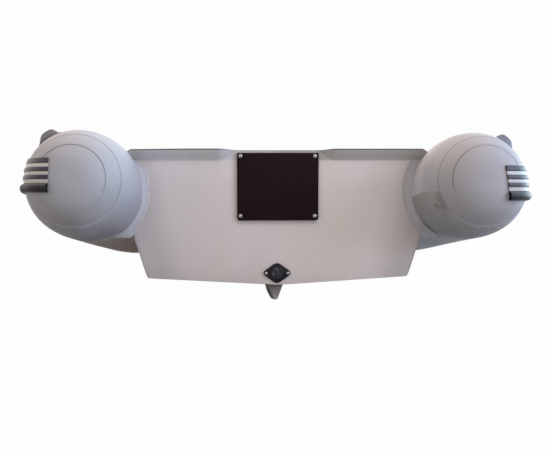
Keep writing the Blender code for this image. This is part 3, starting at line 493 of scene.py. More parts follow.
def fabric_base(finish, look, details, colour):
    """Coated fabric: broad and fine mottling, scuffs, and grime that gathers and runs low down."""
    tone = finish.mix(finish.patches(2.3, 3.0, 0.5, 0.32, 0.68), colour, shade(colour, 0.93))
    fine = finish.patches(21.0, 5.0, 0.65, 0.60, 0.78)
    tone = finish.mix(fine * 0.22, tone, shade(colour, 0.80))
    scuffs = finish.patches(34.0, 3.0, 0.5, 0.66, 0.74, (0.5, 0.25, 1.4))
    tone = finish.mix(scuffs * 0.16, tone, shade(colour, 1.35))
    grime_and_shadow = finish.patches(9.0, 5.0, 0.62, 0.30, 0.72) * 0.55
    runs = finish.patches(14.0, 4.0, 0.6, 0.45, 0.75, (1.6, 1.0, 0.22)) * 0.35
    low = finish.step(finish.z, 0.17, 0.02)
    finish.relief((finish.noise(11.0, 2.0, 0.45), 0.0022),
                  (finish.noise(1.0 / details.grain, 1.0), 0.0001))
    finish.set("Roughness", 0.50 + finish.noise(6.0) * 0.16)
    return finish.mix(low * (grime_and_shadow + runs) * details.dirt, tone, look.fabric_dirt)


def smudged(finish, tone, look):
    """Rub marks low on the inner side of the starboard dome."""
    for place, radius, share in SMUDGES:
        tone = finish.mix(finish.spot(place, radius) * share, tone, look.smudge)
    return tone


@coat(specular=0.42)
def dress_tube_fabric(finish, look, details):
    """Coated fabric with glue lines where the dome's panels and the seam tapes lap, with painted
    light and shade.
    """
    tone = fabric_base(finish, look, details, look.fabric)
    way, turn = finish.along()
    step = finish.step
    # Painted light: the upper side, the tubes' upper part from the domes' roots forward and the
    # starboard dome's inboard side are drawn lighter.
    root_light = step(way, -0.150, -0.050) * step(way, 0.60, 0.20) * step(finish.z, 0.10, 0.18)
    inner = step(finish.x, 0.0, 0.1) * step(finish.facing(0), 0.1, -0.5)
    inner = inner * step(finish.z, 0.08, 0.18) * step(way, -0.26, -0.14) * step(way, 0.60, 0.20)
    tone = finish.zoned(tone, ((step(finish.z, 0.26, 0.38), 1.12), (root_light, 1.15), (inner, 1.38)))
    # Under the domes a pale silt colour: dried silt that is also painted light from the floor; on
    # the starboard side it is then darkened as painted shade.
    under = step(abs(turn - 0.71), 0.17, 0.10) * step(way, -0.120, -0.040)
    silt_and_bounce_light = 0.65 + finish.patches(4.0, 4.0, 0.6, 0.35, 0.65, (1.0, 0.3, 1.0)) * 0.35
    tone = finish.mix(under * silt_and_bounce_light, tone, look.silt_and_bounce_light)
    tone = finish.toned(tone, under * step(finish.x, 0.0, 0.1), 0.86)
    tape_halo = step(abs(way - (DOME_START - 0.275)), 0.040, 0.026) * 0.10
    tone = finish.mix(tape_halo, tone, look.fabric_dirt)
    width = details.seam_width
    wobble = (finish.noise(8.0, 1.0) - 0.5) * 0.0024
    run = way + wobble
    ring = finish.line(run, DOME_START - SEAM_MARKS[1], width * 0.85)
    # Painted highlight: the lower arc of the ring seam is drawn pale.
    seam_highlight_arc = step(turn, 0.59, 0.65) * step(turn, 0.88, 0.82)
    tone = finish.mix(ring * seam_highlight_arc * 0.5, tone, shade(look.fabric, 1.5))
    cap = finish.line(run, DOME_START - SEAM_MARKS[2], width)
    lines = (cap * (0.16 + step(turn, 0.600, 0.505) * 0.84)).larger(ring * (1 - seam_highlight_arc))
    tape = finish.line(run, DOME_START - SEAM_MARKS[1] + 0.014, width * 0.7)
    lines = lines.larger(tape * 0.30)
    for place in (DOME_START + 0.030, 0.150, BOW_START + 0.16, BOW_START + 0.20):
        lines = lines.larger(finish.line(run, place, width * 0.85))
    lengthwise = finish.line(turn + wobble * 0.6, 0.655, width * 0.9)
    lines = lines.larger(lengthwise * step(way, DOME_START, DOME_START + 0.01) * 0.8)
    patchy = 0.55 + finish.patches(5.0, 3.0, 0.5, 0.35, 0.65) * 0.45
    return finish.mix(lines * patchy * 0.68, smudged(finish, tone, look), look.seam)


@coat(specular=0.42)
def dress_patch_fabric(finish, look, details):
    """The wear panel low on the inner quarter of each dome: lilac to port, olive to starboard."""
    starboard = finish.step(finish.x, -0.05, 0.05)
    cloud = finish.patches(17.0, 4.0, 0.6, 0.45, 0.65)
    tone = fabric_base(finish, look, details, shade(look.fabric, 0.97))
    tone = finish.zoned(tone, (
        (starboard, (0.95, 0.955, 0.91)), (cloud * (1 - starboard) * 0.8, (0.96, 0.98, 1.16)),
        (cloud * starboard * 0.7, (0.93, 0.90, 0.82))))
    return smudged(finish, tone, look)


@coat(specular=0.35)
def dress_flap_fabric(finish, look, details):
    """Fabric carried down over the hull's flange, under the tubes, in the pale silt colour that is
    also painted light from the floor.
    """
    return fabric_base(finish, look, details, look.silt_and_bounce_light)


@coat(specular=0.42)
def dress_collar(finish, look, details):
    tone = fabric_base(finish, look, details, look.collar)
    # Painted light: the port strip is drawn lighter still.
    return finish.toned(tone, finish.step(finish.x, 0.0, -0.1), 1.12)


@coat(roughness=0.6)
def dress_glue_line(finish, look, details):
    finish.relief((finish.noise(220.0, 2.0), 0.0003))
    worn = finish.patches(26.0, 4.0, 0.6, 0.35, 0.65)
    return finish.mix(worn * 0.40, look.seam, shade(look.fabric, 0.72))


@coat(roughness=0.45)
def dress_sealant(finish, look, details):
    """The pale bead along the port collar's rounded edge on the transom: a painted highlight, laid
    as a bead of sealant.
    """
    finish.relief((finish.noise(120.0, 2.0), 0.0004))
    dull = finish.patches(30.0, 4.0, 0.5, 0.4, 0.7)
    return finish.mix(dull * 0.6, look.sealant, look.sealant_highlight_dull)


def gelcoat_like(finish, colour, details, warm):
    """Gloss that has gone dull in patches, faint upright bands, specks and fine scratches."""
    bands = finish.patches(3.6, 2.0, 0.4, 0.38, 0.62, (1.0, 1.0, 0.12))
    tone = finish.mix(bands, colour, warm)
    cloud = finish.noise(6.5, 5.0, 0.6)
    dull = finish.step(cloud, 0.50, 0.80) * 0.30
    tone = finish.mix(dull * details.dirt, tone, shade(colour, 0.80))
    specks = finish.step(finish.cells(46.0), 0.060, 0.035) * finish.step(cloud, 0.50, 0.62)
    tone = finish.mix(specks * 0.45 * details.dirt, tone, shade(warm, 0.45))
    scratches = finish.patches(60.0, 2.0, 0.5, 0.70, 0.73, (0.06, 1.0, 1.7))
    finish.set("Roughness", 0.34 + finish.noise(5.0, 4.0, 0.6) * 0.22 + scratches * 0.12)
    finish.relief((finish.noise(9.0, 1.0), 0.0010), (finish.noise(210.0, 2.0), 0.00006))
    return finish.mix(scratches * 0.12, tone, shade(colour, 0.72))


@coat(specular=0.45)
def dress_gelcoat(finish, look, details):
    """Hull and transom. The transom carries painted shade towards its edges, on its lip and by the
    tubes, a painted shadow under its outer motor plate, and painted light at its top and foot.
    """
    red, green, blue = look.gelcoat
    tone = gelcoat_like(finish, look.gelcoat, details, (red * 0.95, green * 0.94, blue * 0.90))
    x, z, step = finish.x, finish.z, finish.step
    port, starboard = step(x, 0.05, -0.05), step(x, -0.05, 0.05)
    edge = (z - ORIGIN.z - CHINE_Z) * FLARE + CHINE_X + step(x, -0.1, 0.1) * STARBOARD_REACH
    inside = edge - abs(x)
    out, up = abs(x) - TUBE_SPREAD, z - (ORIGIN.z + TUBE_AXIS_HEIGHT)
    tube_corner_shade = step((out * out + up * up) ** 0.5, TUBE_RADIUS + 0.085, TUBE_RADIUS + 0.018)
    lip = step(z, 0.302, 0.308)
    grime_and_shadow = step(z, 0.093, 0.100) * step(z, 0.120, 0.115) * step(abs(x), 0.137, 0.128)
    # Painted light and shade on the transom: lighter at the top, the foot and the starboard half,
    # darker on the port half, painted shade on the lip, by the tubes and towards the edges, and a
    # painted shadow in a band under the outer motor plate.
    zones = (
        (step(z, 0.20, 0.28), 1.12), (step(z, 0.02, -0.06), 1.08),
        (step(x, -0.05, 0.20), 1.04), (step(x, 0.05, -0.30), 0.95),
        (lip * port, (0.83, 0.89, 0.93)), (lip * starboard, (0.67, 0.69, 0.69)),
        (tube_corner_shade * port, 0.95), (tube_corner_shade * starboard, 0.93),
        (step(inside, 0.16, 0.04) * port, 0.83), (step(inside, 0.17, 0.01) * starboard, 0.71),
        (step(inside, 0.012, 0.001), 0.76), (grime_and_shadow, 0.80))
    transom = step(finish.y, -0.950, -0.960)
    tone = finish.zoned(tone, [(share * transom, factor) for share, factor in zones])
    foot = step(z, 0.05, -0.09) * finish.noise(7.0, 4.0, 0.6)
    return finish.mix(foot * 0.14 * details.dirt, tone, look.fabric_dirt)


@coat(specular=0.4)
def dress_skeg(finish, look, details):
    tone = gelcoat_like(finish, look.hull_keel, details, shade(look.hull_keel, 0.85))
    rub = finish.step(finish.z, -0.125, -0.150) * finish.patches(40.0, 4.0, 0.5, 0.4, 0.6)
    return finish.mix(rub * 0.6, tone, shade(look.hull_keel, 1.9))


# A darker band along the lip's outer edge and its rounding onto the top.
@coat(roughness=0.5)
def dress_lip_edge(finish, look, details):
    finish.relief((finish.noise(160.0, 2.0), 0.0002))
    worn = finish.patches(30.0, 4.0, 0.5, 0.45, 0.75)
    return finish.mix(worn * 0.5, look.lip_edge_dark, shade(look.lip_edge_dark, 2.2))


@coat(specular=0.45)
def dress_liner(finish, look, details):
    tone = gelcoat_like(finish, look.liner, details, shade(look.liner, 0.93))
    wet = finish.step(finish.z, 0.12, 0.0) * finish.patches(8.0, 5.0, 0.6, 0.35, 0.7)
    return finish.mix(wet * 0.30 * details.dirt, tone, look.fabric_dirt)


DIAMOND_PITCH = 0.016


@coat(roughness=0.7)
def dress_deck_grip(finish, look, details):
    """Moulded diamond tread, darker in its grooves and scuffed where people step."""
    turn = 2 * math.pi / DIAMOND_PITCH
    tread = [((finish.x + finish.y * way) * turn).sine() for way in (1, -1)]
    raised = finish.step(tread[0] * tread[1], -0.10, 0.25)
    traffic = finish.patches(4.0, 4.0, 0.6, 0.40, 0.70)
    finish.set("Roughness", 0.74 - raised * traffic * 0.16)
    finish.relief((finish.noise(700.0, 1.0), 0.0002), (raised, 0.0012))
    tone = finish.mix(raised, shade(look.deck_grip, 0.62), look.deck_grip)
    return finish.mix(traffic * 0.35, tone, shade(look.deck_grip, 0.74))


def rubber_like(finish, colour, chalk):
    """Moulded rubber: chalky bloom on the high spots, fine grain and a few nicks."""
    bloom = finish.patches(17.0, 5.0, 0.65, 0.42, 0.74)
    tone = finish.mix(bloom * chalk, colour, shade(colour, 2.0))
    nicks = finish.patches(75.0, 2.0, 0.5, 0.69, 0.74, (1.0, 0.4, 1.0))
    finish.set("Roughness", 0.46 + bloom * 0.22)
    finish.relief((finish.noise(60.0, 2.0), 0.0004), (finish.noise(620.0, 2.0), 0.00014))
    return finish.mix(nicks * 0.35, tone, shade(colour, 0.5))


@coat(specular=0.4)
def dress_band(finish, look, details):
    tone = rubber_like(finish, look.band, 0.0)
    # Painted shade: the starboard band is drawn darker.
    tone = finish.toned(tone, finish.step(finish.x, 0.0, 0.1), 0.90)
    stain = finish.patches(40.0, 4.0, 0.6, 0.52, 0.72, (0.4, 0.4, 1.5))
    return finish.mix(stain * 0.40 * details.dirt, tone, look.fabric_dirt)


@coat(specular=0.40)
def dress_rib(finish, look, details):
    tone = rubber_like(finish, look.rib, 0.40)
    finish.set("Roughness", 0.36 + finish.noise(17.0, 4.0) * 0.14)
    # Painted light: ribs are drawn lighter where they face upwards.
    return finish.toned(tone, finish.step(finish.facing(2), -0.2, 0.6), 1.4)


@coat(specular=0.30)
def dress_roll(finish, look, details):
    # Painted highlight: faces turned upwards take a lighter, browner colour.
    top_highlight = finish.step(finish.facing(2), 0.15, 0.80) * (0.7 + finish.noise(30.0, 4.0) * 0.4)
    return finish.mix(top_highlight, rubber_like(finish, look.roll, 0.30), look.roll_highlight)


@coat(specular=0.4)
def dress_rubber(finish, look, details):
    return rubber_like(finish, look.rubber, 0.35)


# Painted shade: holes and recesses are drawn near black.
@coat(roughness=0.8)
def dress_hollow(finish, look, details):
    return rubber_like(finish, shade(look.roll, 0.15), 0.1)


@coat(specular=0.08)
def dress_pad(finish, look, details):
    """Hard laminate, faintly brown, with clamp rubs and its own fine pebble."""
    cloud = finish.patches(7.0, 4.0, 0.6, 0.35, 0.70)
    rubs = finish.patches(48.0, 3.0, 0.5, 0.68, 0.74, (0.35, 1.0, 1.2))
    finish.set("Roughness", 0.50 + cloud * 0.12 - rubs * 0.08)
    finish.relief((finish.cells(640.0), 0.00010))
    tone = finish.mix(cloud, look.pad, shade(look.pad, 1.30))
    return finish.mix(rubs * 0.25, tone, shade(look.pad, 3.6))


@coat(specular=0.36)
def dress_plastic(finish, look, details):
    dust = finish.patches(28.0, 4.0, 0.6, 0.50, 0.78)
    finish.set("Roughness", 0.30 + dust * 0.22)
    finish.relief((finish.noise(420.0, 2.0), 0.00012))
    return finish.mix(dust * 0.30, look.plastic, shade(look.plastic, 4.0))


@coat(specular=0.5)
def dress_worn_plastic(finish, look, details):
    """The drain's plug, chalked and scuffed by fingers."""
    chalk = finish.patches(85.0, 4.0, 0.7, 0.42, 0.66)
    finish.set("Roughness", 0.34 + chalk * 0.3)
    finish.relief((finish.noise(240.0, 3.0), 0.0004))
    return finish.mix(chalk * 0.8, shade(look.plastic, 1.2), shade(look.plastic, 13.0))


@coat(metallic=1.0)
def dress_steel(finish, look, details):
    """Stainless steel, brushed by use, with tea stains."""
    stain = finish.patches(90.0, 4.0, 0.6, 0.56, 0.76)
    finish.set("Roughness", 0.24 + stain * 0.25 + finish.noise(300.0, 2.0) * 0.12)
    finish.relief((finish.noise(500.0, 2.0, 0.5, (0.2, 1.0, 1.0)), 0.00005))
    return finish.mix(stain * 0.45, look.steel, look.tea_stain)


@coat(roughness=0.9)
def dress_studio_floor(finish, look, details):
    """Pale sheet: even white to the eye, and a soft return of light for all else."""
    white = finish.node("ShaderNodeEmission", sockets={"Color": WHITE, "Strength": PAPER})
    seen = finish.seen_white(Wire(finish, finish.shader.outputs[0]), white)
    finish.feed(finish.tree.nodes["Material Output"].inputs["Surface"], seen)
    tone = shade(WHITE, bpy.context.scene.studio_look.floor_tone)
    return finish.mix(finish.noise(40.0, 2.0) * 0.1, tone, shade(tone, 0.9))


# Mesh helpers

def clamp(value, low=0.0, high=1.0):
    return min(max(value, low), high)


def blend(first, last, share):
    return first + (last - first) * share


def squared(part, power):
    """Turns a circle's sine or cosine into that of a rounded square."""
    return math.copysign(abs(part) ** power, part)


def spaced(first, last, count):
    return [first + (last - first) * k / count for k in range(count + 1)]


def turns(count):
    return [2 * math.pi * k / count for k in range(count)]


def arc(centre, radii, degrees):
    """Points at the given degrees of an ellipse."""
    return [(centre[0] + radii[0] * math.cos(a), centre[1] + radii[1] * math.sin(a))
            for a in map(math.radians, degrees)]


def at(x, y, z=0.0):
    return Matrix.Translation((x, y, z))


def turned(angle, axis):
    return Matrix.Rotation(angle, 4, axis)


def framed(base, x, y, z):
    """Matrix at a base with the given directions as its axes."""
    return at(*base) @ Matrix((x, y, z)).transposed().to_4x4()


def grid(rows, ring=False, ends=(False, False), places=None, stuff=0, shape=None):
    """Quads through rows of points. Places gives a corner's UV from its row and column."""
    shape = shape or bmesh.new()
    layer = shape.loops.layers.uv.get("skin") or shape.loops.layers.uv.new("skin")
    finish_at = stuff if callable(stuff) else lambda i, j: stuff
    verts = [[shape.verts.new(point) for point in row] for row in rows]
    count = len(rows[0])
    for i in range(len(rows) - 1):
        for j in range(count if ring else count - 1):
            k = (j + 1) % count
            face = shape.faces.new((verts[i][j], verts[i][k], verts[i + 1][k], verts[i + 1][j]))
            face.material_index = finish_at(i, j)
            if places:
                corners = ((i, j), (i, j + 1), (i + 1, j + 1), (i + 1, j))
                for loop, corner in zip(face.loops, corners):
                    loop[layer].uv = places(*corner)
    for row, wanted in ((verts[0][::-1], ends[0]), (verts[-1], ends[1])):
        if wanted:
            shape.faces.new(row).material_index = finish_at(0, 0)
    return shape


def add_object(name, data):
    thing = bpy.data.objects.new(name, data)
    bpy.context.scene.collection.objects.link(thing)
    return thing


def add_mesh(name, shape, finishes):
    mesh = bpy.data.meshes.new(name)
    shape.to_mesh(mesh)
    shape.free()
    for finish in finishes:
        mesh.materials.append(finish_of(finish))
    return add_object(name, mesh)


SLOTS = {  # the model's slot that a finish dresses, where it isn't named like the finish
    "patch_fabric": "tube_fabric", "collar": "tube_fabric", "skeg": "gelcoat",
    "deck_grip": "liner", "roll": "black_rubber", "rubber": "grey_rubber", "pad": "pad_plastic",
    "plastic": "black_plastic", "worn_plastic": "black_plastic",
}


def add_piece(name, shape, finishes, replaces=(), body="boat", slot=None, sharp=34, weld=False):
    """Makes the shape a named piece in the row frame that rides on a body of the model."""
    if weld:
        bmesh.ops.remove_doubles(shape, verts=shape.verts, dist=1e-6)
    bmesh.ops.recalc_face_normals(shape, faces=shape.faces)
    bmesh.ops.translate(shape, verts=shape.verts, vec=ORIGIN)
    slot = slot or SLOTS.get(finishes[0], finishes[0])
    piece = add_mesh(name, shape, finishes)
    piece.data.shade_smooth()
    piece.data.set_sharp_from_angle(angle=math.radians(sharp))
    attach(piece, body)
    if replaces:
        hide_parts(*replaces)
    return piece


def rounded_outline(corners, steps=6):
    """Outline through (x, y, radius) corners, each rounded by an arc."""
    outline = []
    count = len(corners)
    for k, (x, y, radius) in enumerate(corners):
        here = Vector((x, y))
        before = (Vector(corners[k - 1][:2]) - here).normalized()
        after = (Vector(corners[(k + 1) % count][:2]) - here).normalized()
        half = before.angle(after) / 2
        centre = here + (before + after).normalized() * (radius / math.sin(half))
        first = here + before * (radius / math.tan(half)) - centre
        last = here + after * (radius / math.tan(half)) - centre
        turn = first.angle_signed(last)
        for step in range(steps + 1):
            arm = first.copy()
            arm.rotate(Matrix.Rotation(-turn * step / steps, 2))
            outline.append(tuple(centre + arm))
    return outline


def rounded_rectangle(half_x, half_y, radius, centre=(0.0, 0.0), steps=6):
    corners = [(centre[0] + half_x * a, centre[1] + half_y * b, radius)
               for a, b in ((-1, -1), (1, -1), (1, 1), (-1, 1))]
    return rounded_outline(corners, steps)


def inset(outline, distance):
    """The outline moved inwards, whichever way round it runs."""
    count = len(outline)
    area = sum(outline[k - 1][0] * outline[k][1] - outline[k][0] * outline[k - 1][1]
               for k in range(count))
    sign = 1.0 if area > 0 else -1.0
    moved = []
    for k in range(count):
        here = Vector(outline[k])
        first = (here - Vector(outline[k - 1])).normalized()
        last = (Vector(outline[(k + 1) % count]) - here).normalized()
        normal = Vector((-first.y - last.y, first.x + last.x)) * sign
        length = max(normal.length, 1e-6)
        moved.append(tuple(here + normal / length * (distance / max(0.3, length / 2))))
    return moved


def plate(outline, low, high, matrix, ease=0.002, both=False, steps=3, shape=None, stuff=0):
    """A flat plate whose face, or both faces, run over into its sides by a quarter round."""
    rounds = [(ease * (1 - math.cos(math.pi / 2 * k / steps)),
               ease * (1 - math.sin(math.pi / 2 * k / steps))) for k in range(steps + 1)]
    layers = [(side, high - drop) for side, drop in rounds]
    foot = [(side, low + drop) for side, drop in reversed(rounds)] if both else [(0.0, low)]
    rows = [[matrix @ Vector((x, y, z)) for x, y in (inset(outline, side) if side else outline)]
            for side, z in foot + layers]
    return grid(rows, ring=True, ends=(True, True), shape=shape, stuff=stuff)


def lathe(profile, matrix, count=32, shape=None, stuff=0, ripple=None):
    """Turns (radius, height) points round the matrix's Z. Ripple scales a point's radius."""
    rows = []
    for k, (radius, height) in enumerate(profile):
        row = []
        for t in turns(count):
            r = radius * (ripple(t, k) if ripple else 1.0)
            row.append(matrix @ Vector((r * math.cos(t), r * math.sin(t), height)))
        rows.append(row)
    return grid(rows, ring=True, ends=(profile[0][0] > 1e-5, profile[-1][0] > 1e-5),
                shape=shape, stuff=stuff)


def sweep(points, radius, count=12, shape=None, closed=False):
    """A round wire along points, its section carried on from one point to the next."""
    rows, side, total = [], None, len(points)
    for k, point in enumerate(points):
        before = points[k - 1] if k or closed else points[0]
        after = points[(k + 1) % total] if k + 1 < total or closed else points[-1]
        along = (after - before).normalized()
        side = side or along.orthogonal().normalized()
        side = (side - along * side.dot(along)).normalized()
        other = along.cross(side)
        rows.append([point + (side * math.cos(t) + other * math.sin(t)) * radius
                     for t in turns(count)])
    if closed:
        rows.append(rows[0])
    return grid(rows, ring=True, ends=(not closed, not closed), shape=shape)


def pan_screw(shape, matrix, radius, stuff, slot_stuff):
    """A domed head with a cross recess, on a thin washer."""
    rise = radius * 0.40
    washer = [(radius * 1.16, 0.0), (radius * 1.16, 0.0006), (radius, 0.0007)]
    dome = arc((0.0, 0.0007), (radius, rise), range(15, 90, 15))
    lathe(washer + dome + [(1e-6, 0.0007 + rise)], matrix, 24, shape, stuff)
    for turn in (0.35, 0.35 + math.pi / 2):
        outline = rounded_rectangle(radius * 0.52, radius * 0.13, radius * 0.12, steps=2)
        plate(outline, 0.0004, 0.0009 + rise, matrix @ turned(turn, "Z"), 0.0002, steps=1,
              shape=shape, stuff=slot_stuff)


def add_screws(name, places, radius):
    shape = bmesh.new()
    for place in places:
        pan_screw(shape, place, radius, 0, 1)
    add_piece(name, shape, ["steel", "hollow"], weld=True)


# The tube's axis and skin, as the source draws them

NUDGE = 1e-4


def axis_height(y):
    way = max(0.0, y - SHEER_START) / (BOW_START + BOW_REACH - SHEER_START)
    return TUBE_AXIS_HEIGHT + SHEER_RISE * way**SHEER_POWER


def dome_radius(aft):
    share = clamp(aft / DOME_LENGTH)
    return TUBE_RADIUS * (1 - share**DOME_POWER) ** DOME_BLUNTNESS


def dome_aft(radius):
    share = min(radius / TUBE_RADIUS, 1.0)
    return DOME_LENGTH * (1 - share ** (1 / DOME_BLUNTNESS)) ** (1 / DOME_POWER)


def dome_slope(aft):
    """How fast the dome's radius changes on the way aft."""
    return (dome_radius(aft + NUDGE) - dome_radius(aft - NUDGE)) / (2 * NUDGE)


def dome_droop(aft):
    return DOME_DROOP * clamp(aft / DOME_LENGTH) ** 2


def swollen(side, way, radius):
    """The radius with the tube's own small swelling, which fades out before the thwart's end."""
    share = clamp((SWELL_END - way) / (SWELL_END - DOME_START))
    return radius * (1 + TUBE_SWELL[side] / TUBE_RADIUS * share * share * (3 - 2 * share))


def bulge(side, way, angle):
    """How far the skin stands out where the fabric isn't quite round."""
    total = 0.0
    for middle, spread, height, place, aft, fore in BULGES[side]:
        turn = (math.degrees(angle) - middle + 180) % 360 - 180
        run = (way - place) / (aft if way < place else fore)
        total += height * math.exp(-(turn / spread) ** 2 - run * run)
    return total


def station(side, way):
    """Centre, outboard direction and radius. Past BOW_START the way is the ellipse's turn."""
    if way <= BOW_START:
        aft = max(0.0, DOME_START - way)
        centre = Vector((side * TUBE_SPREAD, way, axis_height(way) - dome_droop(aft)))
        return centre, Vector((side, 0, 0)), swollen(side, way, dome_radius(aft))
    turn = way - BOW_START
    y = BOW_START + BOW_REACH * math.sin(turn)
    centre = Vector((side * TUBE_SPREAD * math.cos(turn), y, axis_height(y)))
    outward = Vector((side * BOW_REACH * math.cos(turn), TUBE_SPREAD * math.sin(turn), 0))
    return centre, outward.normalized(), TUBE_RADIUS


def skin_point(side, way, angle, height=0.0):
    """Point at a height square off the skin, domes included. The angle turns up from outboard."""
    centre, outward, radius = station(side, way)
    radius += bulge(side, way, angle)
    arm = outward * math.cos(angle) + Vector((0, 0, 1)) * math.sin(angle)
    aft = DOME_START - way
    if aft <= 0.0 or height == 0.0:
        return centre + arm * (radius + height)
    slope = dome_slope(min(aft, DOME_LENGTH - 2 * NUDGE))
    length = math.hypot(1, slope)
    return centre + arm * (radius + height / length) + Vector((0, height * slope / length, 0))


def skin_frame(side, way, angle, height=0.0):
    """Matrix on the skin: X along the tube, Y round it, Z straight out."""
    base = skin_point(side, way, angle, height)
    centre, outward, _ = station(side, way)
    out = (outward * math.cos(angle) + Vector((0, 0, 1)) * math.sin(angle)).normalized()
    along = skin_point(side, way + 0.01, angle) - skin_point(side, way - 0.01, angle)
    along = (along - out * along.dot(out)).normalized()
    return framed(base, along, out.cross(along), out)


def per_metre(side, way, angle):
    """How much the way changes for a metre along the skin."""
    run = (skin_point(side, way + 0.01, angle) - skin_point(side, way - 0.01, angle)).length
    return 0.02 / run


def polar_patch(side, way, angle, profile, shape=None, stuff=0, count=40, square=2.0, share=1.0,
                ripple=None):
    """A pad that follows the skin. Profile holds (reach, height) from its rim to its middle."""
    rate = per_metre(side, way, angle)
    power = 2 / square
    rows = []
    for k, (reach, height) in enumerate(profile):
        row = []
        for t in turns(count):
            r = reach * (ripple(t, k) if ripple else 1.0)
            along = squared(math.cos(t), power) * r
            round_ = squared(math.sin(t), power) * r * share
            row.append(skin_point(side, way + along * rate, angle + round_ / TUBE_RADIUS, height))
        rows.append(row)
    return grid(rows, ring=True, ends=(False, profile[-1][0] > 1e-5), shape=shape, stuff=stuff)


def pad_profile(reach, thickness, steps=5, foot=-0.0012):
    """Rim to middle of a glued pad: an eased edge and enough rings to follow the tube."""
    ease = thickness * 0.45
    rim = [(reach, foot), (reach, thickness - ease)]
    rim += [(reach - ease * (1 - math.cos(a)), thickness - ease * (1 - math.sin(a)))
            for a in (math.radians(30), math.radians(60), math.radians(90))]
    return rim + [((reach - ease) * (1 - (k + 1) / (steps + 1)), thickness) for k in range(steps)]


# Tubes

TUBE_TURNS = 96
SEAM_MARKS = (0.0, 0.248, 0.298, DOME_LENGTH)  # the dome's seams, as marks from its root
DOME_SEAMS = {  # each seam's true distance from the root, and its lean to inboard and below
    -1: ((0.2482, 0.0040, 0.0055), (0.2997, 0.0020, 0.0015)),
    1: ((0.2474, 0.0, 0.0), (0.2962, 0.0, 0.0)),
}
SEAM_RINGS = (-0.0030, -0.0012, -0.0004, 0.0004, 0.0012, 0.0030)
TIP_RINGS = (1.0, 0.93, 0.85, 0.76, 0.66, 0.55, 0.44, 0.33, 0.22, 0.12, 0.05)
BOW_RATE = 0.61  # metres along the bow tube's UV map for a radian of its turn


def dome_marks():
    """Marks of the dome's rings: close together at the seams and at the tip."""
    marks = {*spaced(0.0, 0.120, 7), *spaced(0.120, 0.240, 12), *spaced(0.254, 0.292, 7)}
    marks |= {seam + step for seam in SEAM_MARKS[1:3] for step in SEAM_RINGS}
    return sorted(marks | {dome_aft(dome_radius(0.303) * share) for share in TIP_RINGS})


def lean(side, mark, angle):
    """Where a mark lies at an angle, as the seams lean on this side."""
    places = [0.0]
    for base, inboard, below in DOME_SEAMS[side]:
        places.append(base - inboard * math.cos(angle) - below * math.sin(angle))
    places.append(DOME_LENGTH)
    k = 0 if mark <= SEAM_MARKS[1] else 1 if mark <= SEAM_MARKS[2] else 2
    share = (mark - SEAM_MARKS[k]) / (SEAM_MARKS[k + 1] - SEAM_MARKS[k])
    return blend(places[k], places[k + 1], share)


def dome_lift(mark, lap):
    """Each panel of the dome is lapped over the next one aft of it."""
    return -lap * sum(clamp((mark - seam + 0.0004) / 0.0008) for seam in SEAM_MARKS[1:3])


def tube_grid(side_ways):
    """A length of tube through (side, way) pairs, with ways and turns in its UV map."""
    rows, reach = [], []
    last = None
    for side, way in side_ways:
        rows.append([skin_point(side, way, t) for t in turns(TUBE_TURNS)])
        centre = station(side, way)[0]
        if last is None or way <= BOW_START:
            reach.append(way if way <= BOW_START else BOW_START + BOW_RATE * (way - BOW_START))
        else:
            reach.append(reach[-1] + (centre - last).length)
        last = centre
    return grid(rows, ring=True, places=lambda i, j: (reach[i], j / TUBE_TURNS))


class BOAT_OT_tubes(bpy.types.Operator):
    """Air tubes and their domed ends, with lapped panels"""
    bl_idname = "boat.tubes"
    bl_label = "Tubes and domes"

    def execute(self, context):
        for name, side in SIDES:
            self.dome(name, side, context.scene.boat_details.lap)
            ways = spaced(DOME_START, BOW_START, 44)
            ways += spaced(BOW_START, BOW_START + BOW_SEAM, 6)[1:]
            add_piece(f"side_tube_{name}", tube_grid([(side, way) for way in ways]),
                      ["tube_fabric"], replaces=[f"tube_{name}"], sharp=60)
        half = spaced(BOW_START + BOW_SEAM, BOW_START + math.pi / 2, 46)
        ways = [(-1, way) for way in half] + [(1, way) for way in reversed(half[:-1])]
        add_piece("bow_tube", tube_grid(ways), ["tube_fabric"], replaces=["tube_bow"], sharp=60)
        return {"FINISHED"}

    def dome(self, name, side, lap):
        """Rings of skin points from the dome's root aft, closed by its tip."""
        marks = dome_marks()
        rows = [[skin_point(side, DOME_START - lean(side, mark, t), t, dome_lift(mark, lap))
                 for t in turns(TUBE_TURNS)] for mark in marks]
        shape = grid(rows, ring=True,
                     places=lambda i, j: (DOME_START - marks[i], j / TUBE_TURNS))
        shape.verts.ensure_lookup_table()
        layer = shape.loops.layers.uv.get("skin")
        rim = shape.verts[-TUBE_TURNS:]
        tip = shape.verts.new((side * TUBE_SPREAD, DOME_START - DOME_LENGTH + 2 * lap,
                               TUBE_AXIS_HEIGHT - DOME_DROOP))
        for k in range(TUBE_TURNS):
            face = shape.faces.new((rim[k], rim[(k + 1) % TUBE_TURNS], tip))
            for loop in face.loops:
                loop[layer].uv = (DOME_START - DOME_LENGTH, (k + 0.5) / TUBE_TURNS)
        add_piece(f"dome_{name}", shape, ["tube_fabric"], replaces=[f"tube_end_{name}"], sharp=60)


